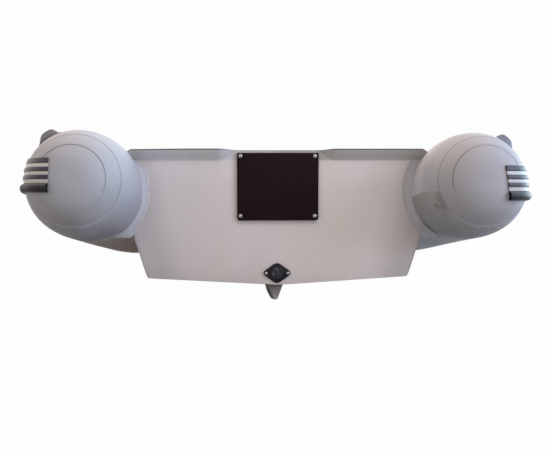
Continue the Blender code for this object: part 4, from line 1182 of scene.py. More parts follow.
COLLARS = {-1: (147.0, 0.35, 0.0245), 1: (144.0, 0.90, 0.0280)}  # upper end, its width, reach
COLLAR_FOOT = 246.0  # the strips' lower end, in degrees
COLLAR_STEPS = 64
BEAD_SHARE = 0.62  # how far down the port strip the pale bead, a painted highlight, runs
WEB_START = 221  # the angle from which the web grows
WEB_GROWTH = 0.0100
WEB_FOOT = 0.1530
TAPE_SECTION = (  # distance from the joint and height
    (-0.0240, -0.0006), (-0.0236, 0.0007), (0.0, 0.0009), (0.0236, 0.0007), (0.0240, -0.0006),
)
TAPE_RATE = 0.62  # metres of tape for a radian of the bow's turn
PANEL_MARGIN = 0.0022  # from the wear panel's aft edge to the seam
PANEL_HEIGHT = 0.0009
PANEL_FOOT = -0.0006
PANEL_BORDER = 0.012
GLUE_REACH = 0.66  # how far along its upper edge the glue shows
COLLAR_SECTION = (  # share of the reach, stand-off from the tube, distance aft, and its finish
    (0.0, -0.0010, 0.0009, 0), (1.0, 0.0, -0.0004, 1), (1.0, -0.0006, 0.0010, 1),
    (1.0, -0.0022, 0.0017, 1), (1.0, -0.0044, 0.0012, 1), (1.0, -0.0045, 0.0024, 0),
    (0.50, 0.0, 0.0031, 0), (0.50, -0.0007, 0.0036, 0), (0.25, 0.0, 0.0044, 0),
    (0.22, -0.0007, 0.0049, 0), (0.0, 0.0036, 0.0066, 0), (0.0, 0.0020, 0.0095, 0),
    (0.0, 0.0011, 0.0125, 0), (0.0, -0.0010, 0.0127, 0),
)
PANEL_EDGES = {  # angle of the upper edge, and the fore edge as (angle, way)
    -1: (191.5, (
        (180, -0.030), (191, -0.035), (199, -0.050), (211, -0.054), (222, -0.044), (232, -0.045),
        (242, -0.072), (250, -0.115), (260, -0.170), (270, -0.225), (277, -0.290))),
    1: (188.8, (
        (180, -0.028), (190, -0.031), (200, -0.034), (211, -0.030), (222, -0.030), (232, -0.038),
        (242, -0.066), (250, -0.110), (260, -0.165), (270, -0.225), (277, -0.290))),
}


def smooth_between(points, x):
    """Value at x on a smooth curve through (x, value) points."""
    k = max(j for j in range(len(points) - 1) if points[j][0] <= x or j == 0)
    around = [points[min(max(k + step, 0), len(points) - 1)] for step in (-1, 0, 1, 2)]
    (_, before), (a, first), (b, last), (_, after) = around
    t = (x - a) / (b - a)
    slopes = (last - before) / 2, (after - first) / 2
    return (first * (1 + 2 * t) * (1 - t)**2 + slopes[0] * t * (1 - t)**2
            + last * t * t * (3 - 2 * t) + slopes[1] * t * t * (t - 1))


class BOAT_OT_patches(bpy.types.Operator):
    """Wear panels on the domes, seam tapes and the collars between tubes and transom"""
    bl_idname = "boat.patches"
    bl_label = "Panels, tapes and collars"

    def execute(self, context):
        for name, side in SIDES:
            self.wear_panel(name, side)
            self.collar(name, side)
            self.seam_tape(name, side)
        return {"FINISHED"}

    def wear_panel(self, name, side):
        """Its aft edge runs along the seam, its fore edge down the collar and then away aft."""
        top, edge = PANEL_EDGES[side]
        top, bottom = math.radians(top), math.radians(edge[-1][0])
        aft = SEAM_MARKS[1] - PANEL_MARGIN
        marks, steps = (
            [0.0, *spaced(PANEL_BORDER, 1 - PANEL_BORDER, count)[:-1], 1 - PANEL_BORDER, 1.0]
            for count in (44, 26))

        def point(across, along):
            angle = blend(top, bottom, across)
            fore = smooth_between(edge, math.degrees(angle))
            mark = DOME_START - fore + (aft - DOME_START + fore) * along
            way = DOME_START - (lean(side, mark, angle) if mark > 0 else mark)
            rim = across in (0.0, 1.0) or along in (0.0, 1.0)
            return skin_point(side, way, angle, PANEL_FOOT if rim else PANEL_HEIGHT)

        shape = grid([[point(across, along) for across in marks] for along in steps],
                     places=lambda i, j: (marks[j], steps[i]),
                     stuff=lambda i, j: int(i == 0 or (j == 0 and steps[i] < GLUE_REACH)))
        add_piece(f"wear_panel_{name}", shape, ["patch_fabric", "glue_line"], sharp=60)

    def collar(self, name, side):
        """Lapped strip in the corner of tube and transom. Its foot spreads into a small web
        that closes the corner between the tube, the transom's side and the hull's flange."""
        first, slim, reach = COLLARS[side]
        rows = []
        for degrees in spaced(first, COLLAR_FOOT, COLLAR_STEPS):
            angle = math.radians(degrees)
            wide = reach * blend(slim, 1, min(1.0, (degrees - first) / 18))
            wide += WEB_GROWTH * clamp((degrees - WEB_START) / 9)
            if degrees > WEB_START:
                wide = min(wide, (TUBE_AXIS_HEIGHT - WEB_FOOT) / -math.sin(angle) - TUBE_RADIUS)
            share = min(1.0, wide / reach)
            row = []
            for along, off, aft, _ in COLLAR_SECTION:
                arm = Vector((side * math.cos(angle), 0, math.sin(angle)))
                arm *= TUBE_RADIUS + along * wide + off * share
                z = TUBE_AXIS_HEIGHT + arm.z
                row.append(Vector((side * TUBE_SPREAD + arm.x, transom_aft(z) - aft, z)))
            rows.append(row)

        def stuff(i, j):
            kind = COLLAR_SECTION[j][3]
            bare = side > 0 or i > COLLAR_STEPS * BEAD_SHARE
            return 0 if kind == 1 and bare else kind

        shape = grid(rows, ring=True, ends=(True, True), stuff=stuff)
        add_piece(f"collar_strip_{name}", shape, ["collar", "sealant", "glue_line"],
                  replaces=[f"transom_collar_{name}"], sharp=50)

    def seam_tape(self, name, side):
        """The tape over the joint between the side chamber and the bow chamber."""
        middle = BOW_START + BOW_SEAM
        rows = [[skin_point(side, middle + reach / TAPE_RATE, t, height)
                 for t in turns(TUBE_TURNS)] for reach, height in TAPE_SECTION]
        shape = grid(rows, ring=True, stuff=lambda i, j: 1 if i in (0, 3) else 0)
        add_piece(f"seam_tape_{name}", shape, ["patch_fabric", "glue_line"], sharp=60)


# Rubbing strakes

ROLL_HOLES = ((0.0060, 0.0052, 0.0040), (-0.0060, 0.0052, 0.0040))  # height, distance out, radius
HOLE_DEPTH = 0.012


def strake_spot(side, way, drop, height, squareness):
    """Point over the skin at a height above its axis. Squareness turns the dome's stations
    from planes across the boat into planes along it, so that the end is cut square."""
    aft = max(0.0, DOME_START - way)
    fade = 1 - clamp((way - DOME_START) / BOW_START)
    drop -= (STRAKE_FALL + side * STRAKE_SKEW) * fade
    drop -= STRAKE_DIP * clamp(aft / DOME_LENGTH) ** STRAKE_DIP_POWER
    if aft == 0.0:
        return skin_point(side, way, math.asin(drop / TUBE_RADIUS), height)
    across = dome_radius(aft)
    aft = blend(aft, dome_aft(math.hypot(across, drop)), squareness)
    slope = dome_slope(aft)
    length = math.hypot(1, slope)
    radius = swollen(side, DOME_START - aft, dome_radius(aft))
    angle = math.asin(clamp(drop / radius, -1.0))
    out = radius + height / length + bulge(side, DOME_START - aft, angle)
    y = DOME_START - aft + height * slope / length
    centre_z = TUBE_AXIS_HEIGHT - dome_droop(aft)
    across = side * (TUBE_SPREAD + out * math.cos(angle))
    return Vector((across, y, centre_z + out * math.sin(angle)))


def strake_end(side, drop):
    """How far aft of the dome's start the strake ends at a height over its axis."""
    return dome_aft(STRAKE_ENDS[side] + STRAKE_SLANTS[side] * (STRAKE_TOP - drop))


def strake_ways(side, drop):
    """Ways from the strake's stern end to the bow, each with its squareness."""
    last = strake_end(side, drop)
    steps = 44
    stern = []
    for k in range(steps):
        share = math.sin(math.pi / 2 * (1 - k / steps))
        stern.append((DOME_START - last * share, clamp((share - 0.55) / 0.42)))
    ahead = spaced(DOME_START, BOW_START, 40) + spaced(BOW_START, BOW_START + math.pi / 2, 60)[1:]
    return stern + [(way, 0.0) for way in ahead]


def strake_rows(side, section):
    """Rows of points from the stern to the bow for a section of (drop, stand-off)."""
    return [list(row) for row in zip(*(
        [strake_spot(side, way, drop, height, square) for way, square in strake_ways(side, drop)]
        for drop, height in section))]


def strake_face(side, drop, height):
    """A point of the strake's cut end."""
    return strake_spot(side, DOME_START - strake_end(side, drop), drop, height, 1.0)


def rib_section(centre, half):
    """Top to bottom of one rounded rib, as drop and stand-off."""
    rise = RIB_STAND_OFF - STRAKE_BASE
    points = [(centre + half, STRAKE_BASE)]
    for k in range(1, 8):
        a = math.pi * k / 8
        points.append((centre + half * 0.96 * math.cos(a),
                       STRAKE_BASE + rise * min(1.0, 1.25 * math.sin(a)) ** 0.8))
    return points + [(centre - half, STRAKE_BASE)]


class BOAT_OT_strakes(bpy.types.Operator):
    """Ribbed rubbing bands and the heavy rolls under them"""
    bl_idname = "boat.strakes"
    bl_label = "Rubbing strakes"

    def execute(self, context):
        for name, side in SIDES:
            self.band(name, side)
            self.roll(name, side)
        return {"FINISHED"}

    def band(self, name, side):
        section = [(STRAKE_TOP + 0.0014, 0.0), (STRAKE_TOP + 0.0010, STRAKE_BASE)]
        kinds = [0, 0]
        for centre, half in RIBS:
            rib = rib_section(centre, half)
            section += rib
            kinds += [1] * (len(rib) - 1) + [0]
        section += [(ROLL_HEIGHT + ROLL_RADIUS + 0.0008, STRAKE_BASE)]
        rows = [[strake_face(side, drop, 0.0) for drop, _ in section]]
        shape = grid(rows + strake_rows(side, section), stuff=lambda i, j: kinds[j])
        add_piece(f"strake_band_{name}", shape, ["band", "rib"], replaces=[f"rub_band_{name}"],
                  sharp=40)

    def roll(self, name, side):
        top, bottom = ROLL_HEIGHT + ROLL_RADIUS, ROLL_HEIGHT - ROLL_RADIUS
        crown = arc((ROLL_STAND_OFF, ROLL_HEIGHT), (ROLL_RADIUS, ROLL_RADIUS), range(90, -91, -10))
        section = [(top, 0.0), (top, ROLL_STAND_OFF * 0.6)] + [(drop, off) for off, drop in crown]
        section += [(bottom, ROLL_STAND_OFF * 0.6), (bottom, 0.0)]
        shape = grid(strake_rows(side, section))
        self.end_face(shape, side, section)
        add_piece(f"strake_roll_{name}", shape, ["roll", "hollow"],
                  replaces=[f"rub_roll_{name}"], sharp=40)

    def end_face(self, shape, side, section):
        """The roll's cut end, with the two holes that run through it."""
        way = DOME_START - strake_end(side, ROLL_HEIGHT)
        into = (strake_spot(side, way + 0.004, ROLL_HEIGHT, ROLL_STAND_OFF, 1.0)
                - strake_face(side, ROLL_HEIGHT, ROLL_STAND_OFF)).normalized()
        loops = [[strake_face(side, drop, height) for drop, height in section]]
        for drop, out, radius in ROLL_HOLES:
            loops.append([strake_face(side, ROLL_HEIGHT + drop + radius * math.sin(t),
                                      ROLL_STAND_OFF + out + radius * math.cos(t))
                          for t in turns(16)])
        edges = []
        for points in loops:
            verts = [shape.verts.new(point) for point in points]
            edges += [shape.edges.new((vert, verts[(k + 1) % len(verts)]))
                      for k, vert in enumerate(verts)]
        bmesh.ops.triangle_fill(shape, edges=edges, use_beauty=True)
        for rim in loops[1:]:
            grid([rim, [point + into * HOLE_DEPTH for point in rim]], ring=True,
                 ends=(False, True), stuff=1, shape=shape)


# Transom

def transom_aft(z):
    return -z * math.tan(RAKE)


def transom_fore(z):
    return transom_aft(z) + TRANSOM_THICKNESS / math.cos(RAKE)


def transom_bottom(x):
    """Height of the transom's lower edge: a shallow vee, a rounded chine and a flared side."""
    reach = max(abs(x) - (STARBOARD_REACH if x > 0 else 0.0), 0.0)
    vee = CHINE_Z * reach / CHINE_X
    side = CHINE_Z + (reach - CHINE_X) / FLARE
    if reach < CHINE_X - CHINE_ROUND:
        return vee
    blend = CHINE_ROUND / 2
    return math.log(math.exp(vee / blend) + math.exp(side / blend)) * blend


def lip_share(x):
    share = clamp((abs(x) - LIP_START) / (LIP_FULL - LIP_START), 0.02)
    return share * share * (3 - 2 * share) + 0.02


def transom_face(fore=False):
    """Matrix of the raked face: X athwartships, Y up the slope and Z out of the face."""
    up = Vector((0, -math.sin(RAKE), math.cos(RAKE)))
    out = Vector((0, -math.cos(RAKE), -math.sin(RAKE)))
    if fore:
        return framed(-out * TRANSOM_THICKNESS, up.cross(out), up, out) @ turned(math.pi, "Y")
    return framed((0, 0, 0), up.cross(out), up, out)


def transom_section(x, ease):
    """Points (y, z) round the transom at x. LIP_SIDES says which are the dark lip edge."""
    low = transom_bottom(x) - FOOT_DROP * clamp(1.15 - x / 0.35)
    share = lip_share(x)
    top = TRANSOM_TOP - LIP_CORNER_FALL * max(0.0, abs(x) - LIP_CORNER)
    top += TOP_RAISE - PORT_FALL * clamp((-x - 0.30) / 0.15)
    under, reach, cove = top - LIP_DEPTH * share, LIP_REACH * share, 0.0045 * share
    edge = top - 0.14 * LIP_DEPTH * share
    aft, fore = transom_aft, transom_fore
    face = [(aft(z), z) for z in (blend(low, under, s) for s in (0.25, 0.5, 0.75))]
    lip = [(aft(edge) - reach * s, blend(under, edge, t))
           for s, t in ((0.45, 0.42), (0.75, 0.72), (0.93, 0.90))]
    return [
        (fore(low), low), (aft(low + ease) + ease * 0.9, low),
        (aft(low) + ease * 0.3, low + ease * 0.3), (aft(low + ease), low + ease), *face,
        (aft(under - cove), under - cove), (aft(under) - cove * 0.25, under - cove * 0.15),
        (aft(under + cove) - reach * 0.16, under + cove * 0.7), *lip,
        (aft(edge) - reach, edge), (aft(edge) - reach, top - 0.0030 * share - 0.0006),
        (aft(top) - reach * 0.98, top - 0.0012 * share - 0.0003), (aft(top) - reach * 0.88, top),
        (fore(top) - ease * 2, top), (fore(top) - ease * 0.6, top - ease * 0.6),
        (fore(top - ease * 2), top - ease * 2)]


LIP_SIDES = (13, 14, 15)
TRANSOM_PLACES = ((0.0, LIP_START, 8), (LIP_START, LIP_FULL, 14), (LIP_FULL, 0.395, 10),
                  (0.395, 0.445, 20), (0.445, 0.512, 12))  # from x to x in so many steps


class BOAT_OT_transom(bpy.types.Operator):
    """Raked transom with its rolled lips"""
    bl_idname = "boat.transom"
    bl_label = "Transom"

    def execute(self, context):
        ease = context.scene.boat_details.ease
        places = [0.0]
        for first, last, count in TRANSOM_PLACES:
            places += spaced(first, last, count)[1:]
        rows = [[Vector((x, y, z)) for y, z in transom_section(x, ease)]
                for x in [-place for place in reversed(places[1:])] + places]
        shape = grid(rows, ring=True, ends=(True, True), stuff=lambda i, j: int(j in LIP_SIDES))
        add_piece("transom_moulding", shape, ["gelcoat", "lip_edge"], replaces=["transom"],
                  sharp=32)
        return {"FINISHED"}


class BOAT_OT_motor_pads(bpy.types.Operator):
    """Plates on both sides of the transom that take the motor's clamps"""
    bl_idname = "boat.motor_pads"
    bl_label = "Motor pads"

    def execute(self, context):
        radius = context.scene.boat_details.screw_radius
        half, small = PAD_WIDTH / 2, PAD_CORNER / 3
        for name, fore, bottom in (("outer", False, PAD_BOTTOM), ("inner", True, INNER_PAD_BOTTOM)):
            face = transom_face(fore)
            low, high = bottom / math.cos(RAKE), PAD_TOP / math.cos(RAKE)
            wide, crest = half if fore else half + PAD_EXTRA, high + 0.0015
            corners = [(-half, low, PAD_CORNER), (wide, low, PAD_CORNER),
                       (wide, crest, small), (-half, crest, small)]
            shape = plate(rounded_outline(corners), 0.0, PAD_THICKNESS, face, 0.0016)
            add_piece(f"motor_plate_{name}", shape, ["pad"], replaces=[f"motor_pad_{name}"])
            add_screws(f"pad_screws_{name}", [
                face @ at(x, y, PAD_THICKNESS) for x in (0.0110 - half, wide - 0.0120)
                for y in (low + 0.0150, high - 0.0085)], radius)
        return {"FINISHED"}


DRAIN_SCREWS = (-0.0362, 0.0362)
PLUG_LOBES = 14
PLUG_PROFILE = (
    (0.0205, 0.0020), (0.0204, 0.0060), (0.0202, 0.0092), (0.0190, 0.0106), (0.0160, 0.0110),
    (0.0150, 0.0098), (0.0060, 0.0090), (0.0040, 0.0090), (1e-6, 0.0090),
)


class BOAT_OT_drain(bpy.types.Operator):
    """Lozenge flange at the foot of the transom with its gripped plug"""
    bl_idname = "boat.drain"
    bl_label = "Drain"

    def execute(self, context):
        face, height = transom_face(), DRAIN_HEIGHT / math.cos(RAKE)
        spot = face @ at(0, height)
        wide, high = DRAIN_HALF_WIDTH * 1.16, DRAIN_HALF_HEIGHT * 1.26
        corners = [(-wide, height, DRAIN_EAR), (0, height - high, DRAIN_WAIST),
                   (wide, height, DRAIN_EAR), (0, height + high, DRAIN_WAIST)]
        seat = DRAIN_THICKNESS - 0.0012
        shape = plate(rounded_outline(corners, 10), 0.0, seat, face, 0.0022, steps=4)
        rim = arc((0.0238, DRAIN_THICKNESS), (0.0024, 0.0022), range(30, 181, 30))
        lathe([(0.0262, 0.0040), (0.0262, DRAIN_THICKNESS), *rim, (0.0214, 0.0040)], spot, 48,
              shape)
        add_piece("drain_mouth", shape, ["plastic"], replaces=["drain_flange"])

        def grip(t, k):
            return 1.0 - 0.05 * (0.5 + 0.5 * math.cos(PLUG_LOBES * t)) if k in (1, 2, 3) else 1.0

        shape = lathe(PLUG_PROFILE, spot, 84, ripple=grip)
        for turn in (62, 152):
            bar = rounded_rectangle(0.0150, 0.0026, 0.0022, steps=4)
            plate(bar, 0.0080, 0.0122, spot @ turned(math.radians(turn), "Z"), 0.0012, shape=shape)
        add_piece("drain_cap", shape, ["worn_plastic"], replaces=["drain_plug"], weld=True)
        add_screws("drain_screws", [face @ at(x, height, seat) for x in DRAIN_SCREWS], 0.0040)
        return {"FINISHED"}


# Hull and inner moulding

def keel_height(y):
    way = max(0.0, y - BOW_START) / (HULL_REACH - BOW_START)
    return KEEL_RISE * way**KEEL_POWER


def chine_height(y):
    return CHINE_Z + CHINE_RISE * (max(y, 0.0) / HULL_REACH) ** 2


def plan_share(y):
    way = max(0.0, y - BOW_START) / BOW_REACH
    return math.sqrt(max(1e-4, 1 - way * way))


def sole_height(y):
    return SOLE_HEIGHT + SOLE_RISE * y


def deck_edge(y):
    return max(sole_height(y) - SOLE_THICKNESS, chine_height(y) + 0.0045)


def deck_middle(y):
    return max(sole_height(y) - SOLE_THICKNESS, keel_height(y) + 0.0305)


def sheer_rise(y):
    return axis_height(y) - TUBE_AXIS_HEIGHT


def sole_top(y):
    """Heights of the sole's upper side at its edge and amidships."""
    floor = sole_height(y)
    return max(floor, deck_edge(y) + SOLE_THICKNESS), max(floor, deck_middle(y) + SOLE_THICKNESS)


def hull_half(y):
    """Starboard half of the hull's skin, from the keel out over the chine to the flange."""
    share, sheer = plan_share(y), sheer_rise(y)
    keel, chine = keel_height(y), chine_height(y)
    rail = RAIL_HEIGHT * clamp((y - RAIL_START) / 0.2)
    parts = ((0.0, 0), (0.10, 0), (0.25, 0), (0.40, 0), (0.495, 0.02), (0.535, 0.70), (0.550, 1.0),
             (0.565, 0.95), (0.573, 0.25), (0.580, 0), (0.70, 0), (0.85, 0), (0.985, 0))
    points = [(part * CHINE_X * share, blend(keel, chine, part) - rail * drop)
              for part, drop in parts]
    shoulder = (HULL_SHOULDER[0] * share, HULL_SHOULDER[1] + sheer)
    foot = (CHINE_X * share, chine)
    points += [(foot[0] + 0.001 * share, foot[1] + 0.0012)]
    points += [tuple(map(blend, foot, shoulder, (s, s))) for s in (0.08, 0.35, 0.65, 0.94)]
    points += [(shoulder[0] + 0.004 * share, shoulder[1] - 0.001),
               (HULL_FLANGE[0] * share, HULL_SHOULDER[1] + sheer),
               (HULL_FLANGE[0] * share, HULL_FLANGE[1] + sheer)]
    return points


def mirrored(half, y_of):
    """A whole section, port to starboard, from its starboard half."""
    right = [Vector((x, y_of(z), z)) for x, z in half]
    return [Vector((-p.x, p.y, p.z)) for p in reversed(right[1:])] + right


def section_rows(half_of, stations, ring_of=mirrored):
    aft = transom_fore(0.0) + SEAT_GAP
    rows = [ring_of(half_of(aft), lambda z: transom_fore(z) - 0.002)]
    return rows + [ring_of(half_of(y), lambda z, y=y: y) for y in stations]


SKEG_SHARES = ((0.0, 1.0), (0.25, 1.0), (0.6, 0.72), (0.85, 0.45), (1.0, 0.22))  # way, depth
HULL_WAYS = spaced(0.10, 1.15, 21) + spaced(1.15, 1.90, 30)[1:] + spaced(1.90, 2.05, 10)[1:]
LINER_WAYS = spaced(0.10, 1.15, 21) + spaced(1.15, 1.88, 29)[1:]


class BOAT_OT_hull(bpy.types.Operator):
    """Glass-fibre hull skin with its spray rails, and the skeg"""
    bl_idname = "boat.hull"
    bl_label = "Hull and skeg"

    def execute(self, context):
        rows = section_rows(hull_half, HULL_WAYS)
        count = len(rows[0])
        shape = grid(rows, stuff=lambda i, j: 1 if j < 2 or j > count - 4 else 0)
        shape.verts.ensure_lookup_table()
        shape.faces.new(shape.verts[-count:])
        shape.faces.new(shape.verts[:count]).material_index = 1
        hull = add_piece("hull_skin", shape, ["gelcoat", "flap_fabric"], replaces=["hull"],
                         sharp=28)
        bevel = hull.modifiers.new("eased edges", "BEVEL")
        bevel.width = context.scene.boat_details.ease
        bevel.segments = 2
        bevel.limit_method = "ANGLE"
        bevel.angle_limit = math.radians(35)
        self.skeg()
        return {"FINISHED"}

    def skeg(self):
        rows = []
        for way in (0.0, 0.0015, 0.004, *spaced(0.01, 0.99, 30), 0.996, 1.0):
            k = max(j for j in range(len(SKEG_SHARES) - 1) if SKEG_SHARES[j][0] <= way)
            (a, first), (b, last) = SKEG_SHARES[k], SKEG_SHARES[k + 1]
            share = blend(first, last, min(1.0, (way - a) / (b - a)))
            end = min(1.0, 0.55 + 0.45 * math.sqrt(min(way, 1 - way, 0.004) / 0.004))
            y = blend(SKEG_AFT, SKEG_FORE, way)
            top = keel_height(y) + 0.002
            bottom = keel_height(y) - 0.0008 - SKEG_DEPTH * share + 0.002 * (1 - end)
            upper, lower = 0.0275 * share * end, 0.0072 * (0.6 + 0.4 * share) * end
            foot = min(0.0045, lower * 0.8)
            outline = rounded_outline([(-upper, top, 0.001), (upper, top, 0.001),
                                       (lower, bottom, foot), (-lower, bottom, foot)], 5)
            rows.append([Vector((SKEG_SHIFT + SKEG_LEAN + x, y, z)) for x, z in outline])
        shape = grid(rows, ring=True, ends=(True, True))
        add_piece("skeg_fin", shape, ["skeg"], replaces=["skeg"], sharp=40)


TREAD_INNER = 0.016  # the tread panels' inner edges, from the keel line


def on_sole(x, y):
    """A frame that stands on the sole at (x, y) and follows its slope."""
    return at(x, y, sole_height(y)) @ turned(math.atan(SOLE_RISE), "X")


class BOAT_OT_cockpit(bpy.types.Operator):
    """Sole with its tread panels and the cockpit sides"""
    bl_idname = "boat.cockpit"
    bl_label = "Cockpit"

    def execute(self, context):
        def floor_half(y):
            share = plan_share(y)
            edge, middle = sole_top(y)
            return [(SOLE_EDGE * share * part, blend(middle, edge, part))
                    for part in (0.0, 0.25, 0.5, 0.75, 1.01)]

        add_piece("sole_top", grid(section_rows(floor_half, LINER_WAYS)), ["liner"],
                  replaces=["sole"])
        for name, side in SIDES:
            self.cockpit_side(name, side)
            self.tread(name, side)
        return {"FINISHED"}

    def cockpit_side(self, name, side):
        def side_section(y):
            share, sheer = plan_share(y), sheer_rise(y)
            rim = SIDE_RIM[2] + sheer
            foot = (SOLE_EDGE * share, sole_top(y)[0])
            head = (SIDE_RIM[1] * share, rim)
            face = [tuple(map(blend, foot, head, (s, s))) for s in (0.0, 0.10, 0.35, 0.65, 0.93)]
            face[0] = (foot[0] - 0.006 * share, foot[1])
            crown = [(head[0] + 0.003 * share, rim - 0.0015), (head[0] + 0.008 * share, rim),
                     (SIDE_RIM[0] * share, rim)]
            return face + crown + [(SIDE_RIM[0] * share, rim - 0.03)]

        def ring_of(section, y_of):
            return [Vector((side * x, y_of(z), z)) for x, z in section]

        shape = grid(section_rows(side_section, LINER_WAYS, ring_of))
        add_piece(f"cockpit_wall_{name}", shape, ["liner"], replaces=[f"cockpit_side_{name}"],
                  sharp=40)

    def tread(self, name, side):
        """Two tread panels a side, set on the flat of the sole."""
        shape = bmesh.new()
        for first, last, outer in TREADS:
            middle, half = (first + last) / 2, (last - first) / 2
            place = on_sole(side * (TREAD_INNER + outer) / 2, middle)
            outline = rounded_rectangle((outer - TREAD_INNER) / 2, half, 0.030, steps=8)
            plate(outline, -0.0005, 0.0018, place, 0.0008, steps=2, shape=shape)
        add_piece(f"tread_{name}", shape, ["deck_grip"], sharp=50)


PULL_SIZE = (0.030, 0.009, 0.008)  # half length, half width, corner
GRIP_SET_IN = ((0.035, 0.040), (0.030, 0.055))  # the lid's grip panel: from its sides and its ends


class BOAT_OT_locker(bpy.types.Operator):
    """Bow locker and its hinged lid"""
    bl_idname = "boat.locker"
    bl_label = "Bow locker"

    def execute(self, context):
        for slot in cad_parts["bow_locker"].material_slots:
            slot.material = finish_of("liner")
        (aft, wide), (fore, narrow) = LOCKER_MOUTH
        wide, narrow = wide + LID_OVERLAP, narrow + LID_OVERLAP
        aft, fore = aft - LID_OVERLAP, fore + LID_OVERLAP
        low = LOCKER_TOP + SEAT_GAP
        high = low + LID_THICKNESS
        flat = Matrix.Identity(4)

        def outline(ends, corner, steps):
            (x, y), (u, v) = ends
            return rounded_outline([(x, y, corner), (u, v, corner), (-u, v, corner),
                                    (-x, y, corner)], steps)

        lid = outline(((wide, aft), (narrow, fore)), 0.012, 8)
        shape = plate(lid, low, high, flat, 0.0045, steps=4)
        (side, back), (slim, front) = GRIP_SET_IN
        panel = outline(((wide - side, aft + back), (narrow - slim, fore - front)), 0.015, 6)
        plate(panel, high - 0.001, high + 0.0014, flat, 0.0007, steps=2, shape=shape, stuff=1)
        for x in HINGE_PLACES:
            self.hinge(shape, x, high)
        pull = rounded_rectangle(*PULL_SIZE, (0.0, aft + 0.018))
        plate(pull, high - 0.001, high + 0.0035, flat, 0.0014, shape=shape, stuff=2)
        add_piece("lid_panel", shape, ["liner", "deck_grip", "plastic", "steel", "hollow"],
                  body="lid", replaces=["locker_lid"])
        return {"FINISHED"}

    def hinge(self, shape, x, high):
        """A leaf with two screws on the lid's top, and the knuckle it turns on."""
        half, radius = KNUCKLE_LENGTH / 2, KNUCKLE_RADIUS
        leaf = rounded_rectangle(half, 0.0145, 0.003, (x, HINGE_WAY - 0.0165), 4)
        plate(leaf, high - 0.0005, high + 0.0030, Matrix.Identity(4), 0.0008, steps=2,
              shape=shape, stuff=2)
        pin = at(x, HINGE_WAY, HINGE_HEIGHT) @ turned(math.pi / 2, "Y")
        lathe([(radius - 0.0006, -half), (radius, -half + 0.0006), (radius, half - 0.0006),
               (radius - 0.0006, half)], pin, 20, shape, 2)
        for back in (0.0110, 0.0235):
            pan_screw(shape, at(x, HINGE_WAY - back, high + 0.0030), 0.0026, 3, 4)


GRIP_STRIPS = (-0.060, -0.020, 0.020, 0.060)
STRIP_SIZE = (0.36, 0.013, 0.006)  # half length, half width, corner
THWART_SCREWS = ((-0.487, 0.487), (-0.055, 0.055))


class BOAT_OT_thwart(bpy.types.Operator):
    """Seat board across the tubes and the chocks it stands on"""
    bl_idname = "boat.thwart"
    bl_label = "Thwart"

    def execute(self, context):
        mid, half = (THWART_AFT + THWART_FORE) / 2, (THWART_FORE - THWART_AFT) / 2
        top = THWART_THICKNESS
        stand = at(0, mid, THWART_BOTTOM)
        outline = rounded_rectangle(THWART_HALF_LENGTH, half, 0.030, steps=10)
        shape = plate(outline, 0.0, top, stand, 0.0055, both=True, steps=5)
        add_piece("thwart_board", shape, ["liner"], replaces=["thwart"])
        shape = bmesh.new()
        for y in GRIP_STRIPS:
            strip = rounded_rectangle(*STRIP_SIZE, (0, y))
            plate(strip, top - 0.0004, top + 0.0011, stand, 0.0005, steps=2, shape=shape)
        add_piece("thwart_grips", shape, ["deck_grip"], sharp=50)
        places, ways = THWART_SCREWS
        add_screws("thwart_screws", [stand @ at(x, y, top) for x in places for y in ways], 0.0060)
        for name, _ in SIDES:
            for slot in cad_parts[f"seat_chock_{name}"].material_slots:
                slot.material = finish_of("rubber")
        return {"FINISHED"}


# Fittings on the tubes

def between(points, s):
    """Height on a side view at s, smoothed between its points and mirrored about 0."""
    s = -abs(s)
    if s <= points[0][0]:
        return None
    for (a, first), (b, last) in zip(points, points[1:]):
        if s <= b:
            return first + (last - first) * (s - a) / (b - a)
    return points[-1][1]


class BOAT_OT_handles(bpy.types.Operator):
    """Moulded rubber grab handles on their glued pads"""
    bl_idname = "boat.handles"
    bl_label = "Grab handles"

    def execute(self, context):
        for name, side, way, degrees, foot, share in HANDLES:
            angle = math.radians(degrees)
            long, wide, thick = HANDLE_PAD
            shape = polar_patch(side, way, angle, pad_profile(long, thick, 8), count=56, square=3.0,
                                share=wide / long)
            rim = [(long * 0.90, thick - 0.0008), (long * 0.885, thick + 0.0012),
                   (long * 0.855, thick + 0.0012), (long * 0.84, thick - 0.0008)]
            polar_patch(side, way, angle, rim, shape, count=56, square=3.0, share=wide / long)
            self.strap(shape, side, way, angle, foot, share)
            add_piece(f"{name}_moulding", shape, ["rubber"], replaces=[name], weld=True, sharp=40)
        return {"FINISHED"}

    def strap(self, shape, side, way, angle, foot, share):
        """The raised grip: a flat loop with ribs across it, thicker at its roots."""
        rate = per_metre(side, way, angle)
        rows = []
        ribbed, pitch, height = GRIP_RIBS
        for s in spaced(-GRIP_REACH, GRIP_REACH, 132):
            outer = between(HANDLE_OUTER, s) * share
            inner = between(HANDLE_INNER, s)
            inner = -0.001 if inner is None else inner
            if abs(s) < ribbed:
                outer += height * math.cos(s / pitch * 2 * math.pi)
            middle, half = (outer + inner) / 2, (outer - inner) / 2
            row = []
            for t in turns(28):
                z = middle + half * squared(math.sin(t), GRIP_POWER)
                x = (foot - HANDLE_TAPER * max(0.0, z - 0.008)) * squared(math.cos(t), GRIP_POWER)
                row.append(skin_point(side, way + s * rate, angle + x / TUBE_RADIUS, z))
            rows.append(row)
        grid(rows, ring=True, ends=(True, True), shape=shape)


